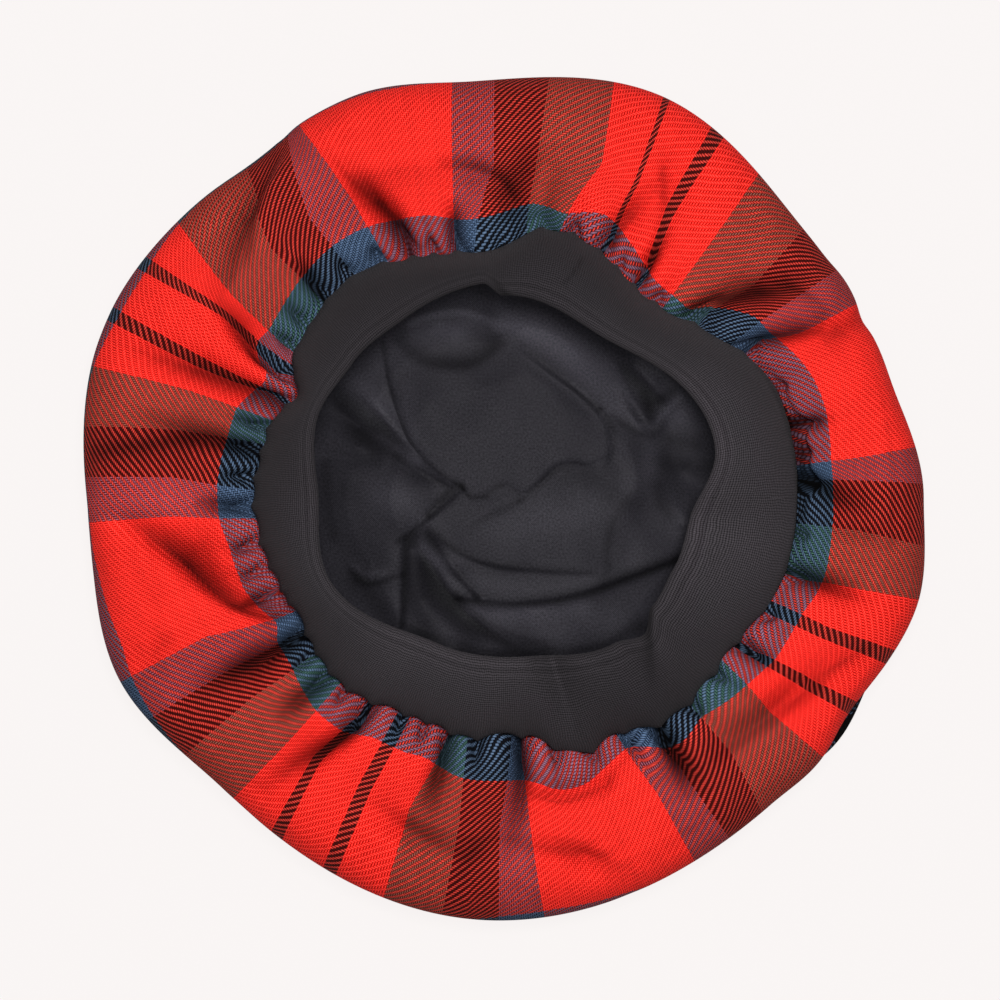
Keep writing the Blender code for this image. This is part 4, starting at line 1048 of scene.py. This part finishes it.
# ------------------------------------------------------------------ shapes of the pieces
def rim_roll(angles):
    """How far the rim seam lies inside the outline, where the crown rolls out past it."""
    middle, half_width, roll = RIM_ROLL
    return roll * MM * np.exp(-(turned_by(angles, middle) / half_width) ** 2)


def is_gather(path, start):
    """Whether a fold is a crease that begins at the band."""
    return start < -GATHER_LEAST and path[0][1] < GATHER_START


def seam_creases():
    """Each gather: its angle at the band, its angle and radius at its far end, and its depth at
    the band."""
    return [(path[0][0], *path[-1], -start) for path, start, *_ in STRIP_FOLDS if is_gather(path, start)]


def puff_shape(angles):
    """How full a pillow of cloth stands between neighbouring gathers, 0 to 1."""
    creases = sorted(crease[0] % 360.0 for crease in seam_creases())
    edges = np.array([creases[-1] - 360.0, *creases, creases[0] + 360.0])
    wrapped = np.mod(angles, 360.0)
    index = np.clip(np.searchsorted(edges, wrapped, side="right") - 1, 0, len(edges) - 2)
    room = edges[index + 1] - edges[index]
    pillow = 1.0 - np.abs(2.0 * (wrapped - edges[index]) / room - 1.0) ** PUFF_ROUNDNESS
    return pillow * np.minimum(room / PUFF_FULL, 1.0) * even_round(PUFF_SIZES, wrapped, 2.0)


def gather_puffs(angles, radii, depth):
    """The height of those pillows, dying out away from the band seam."""
    from_seam = radii - seam_radius(angles)
    return depth * puff_shape(angles) * np.exp(-(from_seam / PUFF_REACH) ** 2)


def cloth_round(angles, out):
    """How much cloth lies before each angle, where the gathers swallow some: out is the share of
    the way from the band seam, where they swallow most, to the rim."""
    density = np.ones_like(angles)
    for seam_angle, far_angle, far_radius, depth in seam_creases():
        reach = max((far_radius - SEAM_MEAN) / RING_WIDTH, 0.1)
        along = min(out / reach, 1.0)
        away = turned_by(angles, seam_angle + (far_angle - seam_angle) * along)
        spread = 1.0 + GATHER_FAN * along
        swallowed = GATHER_SWALLOW * depth * (1.0 - GATHER_FADE * along) * (1.0 - out)
        density += swallowed / (spread * np.sqrt(np.pi)) * np.exp(-(away / spread) ** 2)
    return np.cumsum(density)


def strip_points(columns, rows, sizes):
    """The good face of the strip, from its turned edge at the band to the rim seam: its angles,
    its plain section carried round the hat, the same with every fold, and its painted shade and light."""
    fine = np.arange(0.0, 360.0, 0.05)
    cloth = cloth_round(fine, EVEN_COLUMNS)
    angles = np.interp(np.arange(columns) / columns, (cloth - cloth[0]) / (cloth[-1] - cloth[0]), fine)
    shares, shifts, heights = section_curve(STRIP_SECTION, rows).T
    seam, rim = seam_radius(angles), rim_radius(angles)
    roll = rim_roll(angles)[None, :] * np.clip(shares - 0.5, 0.0, None)[:, None] * 2.0
    radii = seam + (rim - seam) * shares[:, None] + shifts[:, None] * MM - roll
    x, y = polar(angles[None, :], radii)
    z = np.broadcast_to(heights[:, None] * MM, x.shape) + roll * RIM_ROLL_RISE
    plain = np.stack((x, y, z), axis=2)

    way = np.linspace(0.0, 1.0, rows)[:, None]
    free = smoothstep(*FOLDS_GROW, way) * smoothstep(*FOLDS_END, way)
    relief = fold_relief(x, y, polar_folds(STRIP_FOLDS))
    puffs = gather_puffs(np.broadcast_to(angles, x.shape), radii, sizes.gather_puff)
    relief = relief + sizes.cloth_ripple * ripples(x, y, STRIP_RIPPLES) * smoothstep(*RIPPLES_END, way)
    reach = np.where(radii > seam, *PUSH_REACH)
    pushed = -PUFF_PUSH * puff_shape(angles) * np.exp(-((radii - seam) / reach) ** 2)
    inward = np.stack((*polar(angles[None, :], pushed), np.zeros_like(pushed)), axis=2)
    points = plain + surface_normals(plain) * ((relief + puffs) * free)[:, :, None] + inward

    # painted shade deep in each gather's crease, from a narrower copy of the crease
    crease_shades = [
        (path, *heights, left * GATHER_SHADE_WIDTH, right * GATHER_SHADE_WIDTH, spread, softness)
        for path, *heights, left, right, spread, softness in STRIP_FOLDS
        if is_gather(path, heights[0])
    ]
    core = np.clip(-fold_relief(x, y, polar_folds(crease_shades)) / (GATHER_SHADE_DEPTH * MM), 0.0, 0.9)
    # painted shade, and painted light where the strokes fall below 0
    broad = np.clip(fold_relief(x, y, polar_folds(STRIP_SHADES)) / MM, *STRIP_SHADE_RANGE)
    # painted light on the crest of each puff
    crest_place, crest_width = PUFF_CREST
    crest = PUFF_LIGHT * puff_shape(angles) * np.exp(-((radii - seam - crest_place) / crest_width) ** 2)
    return angles, plain, points, 1.0 - (1.0 - core) * (1.0 - broad) * (1.0 + crest)


def section_curve(section, rows):
    """Evenly spaced rows along a section whose first column is a share of the ring's width."""
    scale = np.array((RING_WIDTH, 1.0, 1.0))
    return even_curve(np.array(section, float) * scale, rows) / scale


def strip_threads(angles, plain, points):
    """The strip's thread coordinates: warp count round it, weft count across it, from the edge
    between the blue at the band and the red."""
    rows, columns = points.shape[:2]
    turn = np.append(angles, angles[0] + 360.0)
    width = (rim_radius(angles) - seam_radius(angles))[None, :]
    outward = np.clip((np.hypot(plain[..., 0], plain[..., 1]) - seam_radius(angles)) / width, 0.0, 1.0)

    warp = np.zeros((rows, columns + 1))
    fine = np.linspace(-60.0, 420.0, 9601)
    for row in range(rows):
        out = float(outward[row].mean())
        cloth = cloth_round(fine, out)
        marks, threads = [], []
        for repeat in range(-1, 5):
            for thread, *places in STRIPES:
                rim_angle, middle_angle, seam_angle = places[repeat % 4]
                angle = np.interp(out, (0.0, STRIPE_MIDDLE, 1.0), (seam_angle, middle_angle, rim_angle))
                marks.append(angle + 360.0 * (repeat // 4))
                threads.append(thread + WARP_REPEAT * repeat)
        warp[row] = np.interp(np.interp(turn, fine, cloth), np.interp(marks, fine, cloth), threads)

    weft = weft_threads(angles, plain, np.hypot(points[..., 0], points[..., 1]))
    weft = np.concatenate((weft, weft[:, :1]), axis=1)
    return np.stack((warp, weft), axis=2)


def weft_threads(angles, plain, plan):
    """The weft count of the strip's points, whose radii are plan. It runs evenly over the hat,
    shifts near the band to meet the blue's edge there, and closes up where the cloth turns down,
    to bring the other blue to its place at the rim."""
    pitch, shift_reach, closing, slope_share = WEFT_PITCH * MM, 0.012, 3.0, 0.82
    level_steps = np.abs(np.diff(np.hypot(plain[..., 0], plain[..., 1]), axis=0))
    steps = np.maximum(level_steps, slope_share * np.linalg.norm(np.diff(plain, axis=0), axis=2))
    walked = np.concatenate((np.zeros((1, len(angles))), np.cumsum(steps, axis=0)))
    top = int(np.argmax(np.hypot(plain[:, 0, 0], plain[:, 0, 1]))) + 1
    reach = np.maximum.accumulate(plan[:top], axis=0)
    inner_plan = seam_radius(angles) + even_round(SEAM_BLUE_WIDTH, angles, 1.2) * MM
    inset = even_round(RIM_BLUE_INSET, angles, 1.5) * MM
    columns = range(len(angles))
    inner = np.array([np.interp(inner_plan[c], reach[:, c], walked[:top, c]) for c in columns])
    level = even_round(np.stack((angles, inner), axis=1), angles, 9.0)
    outer_plan = reach[-1] - np.maximum(inset, 0.0)
    outer = np.array([np.interp(outer_plan[c], reach[:, c], walked[:top, c]) for c in columns])
    outer = outer - np.minimum(inset, 0.0)
    shift = (level - inner) / pitch * np.exp(-(np.maximum(walked - inner, 0.0) / shift_reach) ** 2)
    missing = SETT[0][2] - (outer - level) / pitch
    share = np.clip((walked - inner) / (outer - inner), 0.0, 1.0)
    return (walked - level) / pitch + shift + missing * share ** closing


def dome_height(x, y):
    """The middle of the crown's cloth where it lies on the floor and over the toorie."""
    flat = CROWN_EDGE[-1][1] * MM
    top = TOORIE_HEIGHT + DENT_CLEARANCE
    away = np.hypot(x - TOORIE_CENTRE[0], y - TOORIE_CENTRE[1]) / DENT_RADIUS
    share = 1.0 - np.clip(away, 0.0, 1.0) ** DENT_FULLNESS
    return flat + (top - flat) * share * share * (3.0 - 2.0 * share)


def crown_points(columns, edge_rows, floor_rows):
    """The middle of the crown's cloth, from the rim seam to the top of the dent."""
    angles = np.arange(columns) * 360.0 / columns
    section = even_curve(CROWN_EDGE[:-1], edge_rows)
    rim, roll = rim_radius(angles), rim_roll(angles)
    edge_radii = rim - section[:, :1] * MM - roll * section[:, 2:]
    edge_heights = section[:, 1:2] * MM + np.abs(roll * section[:, 2:]) * RIM_ROLL_RISE
    edge_x, edge_y = polar(angles, edge_radii)
    shares = np.linspace(1.0, 0.0, floor_rows + 1)[1:, None]
    start_x, start_y = edge_x[-1], edge_y[-1]
    floor_x = TOORIE_CENTRE[0] + (start_x - TOORIE_CENTRE[0]) * shares
    floor_y = TOORIE_CENTRE[1] + (start_y - TOORIE_CENTRE[1]) * shares
    x, y = np.concatenate((edge_x, floor_x)), np.concatenate((edge_y, floor_y))
    z = np.concatenate((edge_heights, dome_height(floor_x, floor_y)))
    return angles, np.stack((x, y, z), axis=2)


def lining_points(columns, wall_rows, floor_rows):
    """The good face of the lining, from the band seam down the bag and over its creased floor,
    and its painted shade and light."""
    angles = np.arange(columns) * 360.0 / columns
    section = even_curve(LINING_WALL, wall_rows)
    seam = seam_radius(angles)
    wall_radii = seam + section[:, :1] * MM
    wall_z = np.broadcast_to(section[:, 1:] * MM, wall_radii.shape)
    steps = np.linspace(0.0, 1.0, floor_rows + 1)[1:, None]
    shares = 1.0 - np.interp(steps, *np.array(LINING_ROWS).T)
    radii = np.concatenate((wall_radii, wall_radii[-1] * shares))
    x, y = polar(angles, radii)
    floor_x, floor_y = x[wall_rows:], y[wall_rows:]
    # the folds die out at the foot of the wall
    slack = 1.0 - shares ** 6
    rise = np.interp(shares, *np.array(LINING_SLOPE).T) * MM
    crease = fold_relief(floor_x, floor_y, LINING_FOLDS) * slack
    ripple = LINING_RIPPLE_HEIGHT * ripples(floor_x, floor_y, LINING_RIPPLES) * slack
    base = dome_height(floor_x, floor_y) + LINING_CLEARANCE
    floor_z = np.maximum(rise + crease + ripple, base)
    z = np.concatenate((wall_z, floor_z))
    # painted light just inside the band's fold, with the painted shade and light of the strokes
    inside = np.clip(opening_radius(angles) - np.hypot(x, y), 0.0, None) / LINING_EDGE_REACH
    edge_light = even_round(LINING_EDGE_LIGHT, angles, SHADE_EASE) * np.exp(-inside ** 1.4)
    strokes = np.clip(fold_relief(x, y, LINING_SHADES) / MM, *LINING_SHADE_RANGE)
    return np.stack((x, y, z), axis=2), 1.0 - (1.0 + edge_light) * (1.0 - strokes)


def band_points(columns, stations, sizes):
    """The closed section of the doubled band, carried round the hat, and its painted shade."""
    angles = np.arange(columns) * 360.0 / columns
    seam = seam_radius(angles)
    plan_width = seam - opening_radius(angles)
    upright = np.sqrt(np.clip(BAND_WIDTH ** 2 - plan_width ** 2, 0.0, None))
    rise = 0.5 * (upright + BAND_MEAN_RISE)
    half_wall = 0.5 * sizes.band_wall
    share = np.linspace(0.0, 1.0, stations)[:, None]
    pushed = PUFF_PUSH * puff_shape(angles) * (1.0 - share) ** 4
    inset = BAND_SETBACK + pushed + (plan_width - BAND_SETBACK - half_wall) * share ** BAND_ARCH[0]
    height = SEAM_HEIGHT + BAND_LIFT + rise * np.sin(0.5 * np.pi * share) ** BAND_ARCH[1]
    step_in, step_up = np.gradient(inset, axis=0), np.gradient(height, axis=0)
    length = np.hypot(step_in, step_up)
    across_in, across_up = -step_up / length * half_wall, step_in / length * half_wall
    from_fold = (1.0 - share) * BAND_WIDTH
    ridges = sum(np.exp(-((from_fold - place) / BAND_RIDGE_WIDTH) ** 2) for place in BAND_RIDGES)
    stout = 1.0 + BAND_RIDGE_HEIGHT / half_wall * ridges
    outer_in, outer_up = inset + across_in * stout, height + across_up * stout
    inner_in, inner_up = inset - across_in, height - across_up
    turn = np.linspace(0.0, np.pi, BAND_TIP + 2)[1:-1, None]
    tip_in = inset[-1] + np.cos(turn) * across_in[-1] + np.sin(turn) * step_in[-1] / length[-1] * half_wall
    tip_up = height[-1] + np.cos(turn) * across_up[-1] + np.sin(turn) * step_up[-1] / length[-1] * half_wall
    loop_in = np.concatenate((outer_in, tip_in, inner_in[::-1]))
    loop_up = np.concatenate((outer_up, tip_up, inner_up[::-1]))
    x, y = polar(angles, seam - loop_in)
    # painted shade: darker by angle, and in the band's own strokes
    side = even_round(BAND_SIDE_SHADES, angles, SHADE_EASE)
    marks = np.clip(fold_relief(x, y, BAND_SHADES) / MM, *BAND_SHADE_RANGE)
    return np.stack((x, y, loop_up), axis=2), 1.0 - (1.0 - side) * (1.0 - marks)


# ------------------------------------------------------------------ operators
class TAM_OT_tartan_strip(bpy.types.Operator):
    """Gather the tartan strip round the headband"""

    bl_idname = "tam.tartan_strip"
    bl_label = "Tartan strip"

    def execute(self, context):
        sizes, colours = context.scene.tam_sizes, context.scene.tam_colours
        angles, plain, points, shade = strip_points(*STRIP_GRID, sizes)
        piece = ring_mesh("tartan_strip", points, strip_threads(angles, plain, points), shade=shade)
        give_wall(piece, sizes.tartan_wall)
        wear(piece, "under_panel", tartan_material("strip_tartan", colours))
        return {"FINISHED"}


class TAM_OT_tartan_crown(bpy.types.Operator):
    """Lay the round tartan crown on the floor"""

    bl_idname = "tam.tartan_crown"
    bl_label = "Tartan crown"

    def execute(self, context):
        sizes, colours = context.scene.tam_sizes, context.scene.tam_colours
        angles, points = crown_points(*CROWN_GRID)
        steps = np.linalg.norm(np.diff(points, axis=0), axis=2)
        reach = np.cumsum(steps[::-1], axis=0)[::-1]
        reach = np.concatenate((reach, np.zeros((1, len(angles)))))
        reach = np.concatenate((reach, reach[:, :1]), axis=1) / sizes.thread_pitch
        threads = np.stack(polar(np.append(angles, 360.0), reach), axis=2) + np.array(CROWN_THREADS)
        piece = ring_mesh("tartan_crown", points, threads, pole=True)
        give_wall(piece, sizes.tartan_wall, offset=0.0)
        wear(piece, "crown_top", tartan_material("crown_tartan", colours))
        return {"FINISHED"}


class TAM_OT_headband(bpy.types.Operator):
    """Knit the doubled headband round the opening"""

    bl_idname = "tam.headband"
    bl_label = "Headband"

    def execute(self, context):
        sizes, colours = context.scene.tam_sizes, context.scene.tam_colours
        points, shade = band_points(*BAND_GRID, sizes)
        points = np.concatenate((points, points[:1]))
        shade = np.concatenate((shade, shade[:1]))
        steps = np.linalg.norm(np.diff(points, axis=0), axis=2).mean(axis=1)
        course = np.concatenate(([0.0], np.cumsum(steps))) / sizes.knit_pitch
        wales = round(2.0 * np.pi * BAND_MEAN_RADIUS / sizes.knit_pitch)
        wale = np.linspace(0.0, wales, BAND_GRID[0] + 1)
        threads = np.stack(np.meshgrid(wale, course), axis=2)
        piece = ring_mesh("knit_headband", points, threads, shade=shade)
        close_seam(piece)
        wear(piece, "headband", knit_material(colours, float(course[BAND_GRID[1] - 1])))
        return {"FINISHED"}


def close_seam(piece):
    """Merge the first and last rows of a ring whose section is closed."""
    weld = piece.modifiers.new("weld", "WELD")
    weld.merge_threshold = 0.000001
    bake_modifiers(piece)


class TAM_OT_lining(bpy.types.Operator):
    """Hang the creased lining bag inside"""

    bl_idname = "tam.lining"
    bl_label = "Lining"

    def execute(self, context):
        sizes, colours = context.scene.tam_sizes, context.scene.tam_colours
        points, shade = lining_points(*LINING_GRID)
        threads = points[..., :2] / (0.5 * sizes.thread_pitch)
        threads = np.concatenate((threads, threads[:, :1]), axis=1)
        piece = ring_mesh("lining_bag", points, threads, pole=True, shade=shade)
        give_wall(piece, sizes.lining_wall)
        wear(piece, "lining", lining_material(colours))
        return {"FINISHED"}


class TAM_OT_toorie(bpy.types.Operator):
    """Make the yarn toorie under the crown"""

    bl_idname = "tam.toorie"
    bl_label = "Toorie"

    def execute(self, context):
        sizes, colours = context.scene.tam_sizes, context.scene.tam_colours
        material = yarn_material(colours)
        piece = toorie_core("yarn_toorie")
        tree = strand_tree(material)
        growth = piece.modifiers.new("strands", "NODES")
        growth.node_group = tree
        density = tree.interface.items_tree["Strands per square metre"]
        growth[density.identifier] = sizes.strand_count / TOORIE_SURFACE
        bake_modifiers(piece)
        for vertex in piece.data.vertices:
            vertex.co.z = max(vertex.co.z, YARN_REST)
        wear(piece, "toorie", material)
        return {"FINISHED"}


def toorie_core(name):
    """The flattened ball that the strands grow from, its points and faces in a set order, so that
    the strands fall the same each time."""
    columns, rows = TOORIE_GRID
    turn = np.arange(columns) * 2.0 * np.pi / columns
    dip = np.linspace(0.0, np.pi, rows + 1)[1:-1, None]
    x, y = np.sin(dip) * np.cos(turn), np.sin(dip) * np.sin(turn)
    ball = np.stack((x, y, np.broadcast_to(np.cos(dip), x.shape)), axis=2).reshape(-1, 3)
    ball = np.concatenate(([(0.0, 0.0, 1.0)], ball, [(0.0, 0.0, -1.0)]))
    reach = TOORIE_RADIUS - YARN_END
    size = np.array((reach, reach, 0.5 * TOORIE_HEIGHT - 0.6 * YARN_END))
    vertices = ball * size + np.array((*TOORIE_CENTRE, 0.5 * TOORIE_HEIGHT))
    foot = len(vertices) - 1
    faces = []
    for here in range(columns):
        beside = (here + 1) % columns
        faces.append((0, 1 + here, 1 + beside))
        for above in range(1, foot - columns, columns):
            below = above + columns
            faces.append((above + here, below + here, below + beside, above + beside))
        faces.append((foot - columns + here, foot, foot - columns + beside))
    mesh = bpy.data.meshes.new(name)
    mesh.from_pydata(vertices.tolist(), [], faces)
    mesh.shade_smooth()
    piece = bpy.data.objects.new(name, mesh)
    bpy.context.scene.collection.objects.link(piece)
    return piece


def strand_tree(material):
    """Geometry Nodes that grow short yarn ends out of a core."""
    tree = bpy.data.node_groups.new("yarn_strands", "GeometryNodeTree")
    tree.interface.new_socket("Geometry", in_out="INPUT", socket_type="NodeSocketGeometry")
    sockets = (("Strands per square metre", 240000.0), ("Strand length", 0.0048), ("Strand radius", 0.0006))
    for label, value in sockets:
        socket = tree.interface.new_socket(label, in_out="INPUT", socket_type="NodeSocketFloat")
        socket.default_value = value
    seed = tree.interface.new_socket("Seed", in_out="INPUT", socket_type="NodeSocketInt")
    seed.default_value = 7
    tree.interface.new_socket("Geometry", in_out="OUTPUT", socket_type="NodeSocketGeometry")
    nodes, links = tree.nodes, tree.links
    given, result = nodes.new("NodeGroupInput"), nodes.new("NodeGroupOutput")

    scatter = nodes.new("GeometryNodeDistributePointsOnFaces")
    links.new(given.outputs["Geometry"], scatter.inputs["Mesh"])
    links.new(given.outputs["Strands per square metre"], scatter.inputs["Density"])
    links.new(given.outputs["Seed"], scatter.inputs["Seed"])

    end = nodes.new("ShaderNodeCombineXYZ")
    links.new(given.outputs["Strand length"], end.inputs["Z"])
    line = nodes.new("GeometryNodeCurvePrimitiveLine")
    links.new(end.outputs[0], line.inputs["End"])
    bend = nodes.new("GeometryNodeResampleCurve")
    bend.inputs["Count"].default_value = 4
    links.new(line.outputs[0], bend.inputs["Curve"])
    outline = nodes.new("GeometryNodeCurvePrimitiveCircle")
    outline.inputs["Resolution"].default_value = 5
    links.new(given.outputs["Strand radius"], outline.inputs["Radius"])
    strand = nodes.new("GeometryNodeCurveToMesh")
    strand.inputs["Fill Caps"].default_value = True
    links.new(bend.outputs[0], strand.inputs["Curve"])
    links.new(outline.outputs["Curve"], strand.inputs["Profile Curve"])

    lean = nodes.new("FunctionNodeRandomValue")
    lean.data_type = "FLOAT_VECTOR"
    lean.inputs["Min"].default_value = (-0.45, -0.45, -3.1)
    lean.inputs["Max"].default_value = (0.45, 0.45, 3.1)
    links.new(given.outputs["Seed"], lean.inputs["Seed"])
    turned = nodes.new("FunctionNodeRotateRotation")
    turned.rotation_space = "LOCAL"
    links.new(scatter.outputs["Rotation"], turned.inputs["Rotation"])
    links.new(lean.outputs["Value"], turned.inputs["Rotate By"])
    growth = nodes.new("GeometryNodeInstanceOnPoints")
    links.new(scatter.outputs["Points"], growth.inputs["Points"])
    links.new(strand.outputs["Mesh"], growth.inputs["Instance"])
    links.new(turned.outputs["Rotation"], growth.inputs["Rotation"])

    joined = nodes.new("GeometryNodeJoinGeometry")
    links.new(growth.outputs["Instances"], joined.inputs["Geometry"])
    links.new(given.outputs["Geometry"], joined.inputs["Geometry"])
    realized = nodes.new("GeometryNodeRealizeInstances")
    links.new(joined.outputs[0], realized.inputs[0])
    dressed = nodes.new("GeometryNodeSetMaterial")
    dressed.inputs["Material"].default_value = material
    links.new(realized.outputs[0], dressed.inputs["Geometry"])
    links.new(dressed.outputs[0], result.inputs["Geometry"])
    return tree


class TAM_OT_stage(bpy.types.Operator):
    """Set the pale floor, the soft lights and the camera above"""

    bl_idname = "tam.stage"
    bl_label = "Stage"

    def execute(self, context):
        scene = context.scene
        colours = scene.tam_colours
        bpy.ops.mesh.primitive_plane_add(size=FLOOR_SIZE, location=(0.0, 0.0, -FLOOR_DROP))
        floor = context.active_object
        floor.name = "floor"
        shading = Shading("pale_floor")
        glow = tuple((1.0 - FLOOR_SHADE) * part for part in colours.floor)
        bounce = tuple(FLOOR_SHADE / FLOOR_LIGHT * part for part in colours.floor)
        shading.set(
            base_color=(*bounce, 1.0), roughness=1.0, specular_ior_level=0.0,
            emission_color=(*glow, 1.0), emission_strength=1.0,
        )
        floor.data.materials.append(shading.material)

        world = bpy.data.worlds.new("studio")
        world.use_nodes = True
        background = world.node_tree.nodes["Background"]
        background.inputs["Color"].default_value = (1.0, 1.0, 1.0, 1.0)
        background.inputs["Strength"].default_value = WORLD_LIGHT
        scene.world = world
        for name, place, size, power in SOFTBOXES:
            light = bpy.data.lights.new(name, "AREA")
            light.shape = "SQUARE"
            light.size = size
            light.energy = power
            lamp = bpy.data.objects.new(name, light)
            scene.collection.objects.link(lamp)
            lamp.location = place
            lamp.rotation_euler = (-lamp.location).to_track_quat("-Z", "Y").to_euler()
            lamp.visible_camera = False

        camera_data = bpy.data.cameras.new("camera_above")
        camera_data.sensor_width = 36.0
        camera_data.lens = camera_data.sensor_width * VIEW_DISTANCE / VIEW_WIDTH
        camera_data.clip_end = 20.0
        camera = bpy.data.objects.new("camera_above", camera_data)
        scene.collection.objects.link(camera)
        camera.location = (*VIEW_CENTRE, VIEW_DISTANCE + VIEW_LEVEL)
        scene.camera = camera
        scene.view_settings.view_transform = "Standard"
        scene.view_settings.look = "None"
        return {"FINISHED"}


class TAM_PT_panel(bpy.types.Panel):
    """Sidebar panel that lists the pieces and their settings"""

    bl_idname = "TAM_PT_panel"
    bl_label = "Tam o' Shanter"
    bl_space_type = "VIEW_3D"
    bl_region_type = "UI"
    bl_category = "Tam"

    def draw(self, context):
        layout = self.layout
        for operator in OPERATORS:
            layout.operator(operator.bl_idname)
        for group in (context.scene.tam_sizes, context.scene.tam_colours):
            for name in group.bl_rna.properties.keys():
                if name not in ("rna_type", "name"):
                    layout.prop(group, name)


OPERATORS = (
    TAM_OT_stage, TAM_OT_tartan_strip, TAM_OT_tartan_crown, TAM_OT_headband, TAM_OT_lining,
    TAM_OT_toorie,
)
CLASSES = (TamSizes, TamColours, *OPERATORS, TAM_PT_panel)


def register():
    """Add the classes, and their settings to the scene."""
    for cls in CLASSES:
        bpy.utils.register_class(cls)
    bpy.types.Scene.tam_sizes = PointerProperty(type=TamSizes)
    bpy.types.Scene.tam_colours = PointerProperty(type=TamColours)


def unregister():
    """Take them off again."""
    del bpy.types.Scene.tam_colours
    del bpy.types.Scene.tam_sizes
    for cls in reversed(CLASSES):
        bpy.utils.unregister_class(cls)


def main():
    """Register, and make every piece in order."""
    register()
    bpy.ops.tam.stage()
    bpy.ops.tam.tartan_strip()
    bpy.ops.tam.tartan_crown()
    bpy.ops.tam.headband()
    bpy.ops.tam.lining()
    bpy.ops.tam.toorie()


if __name__ == "__main__":
    main()
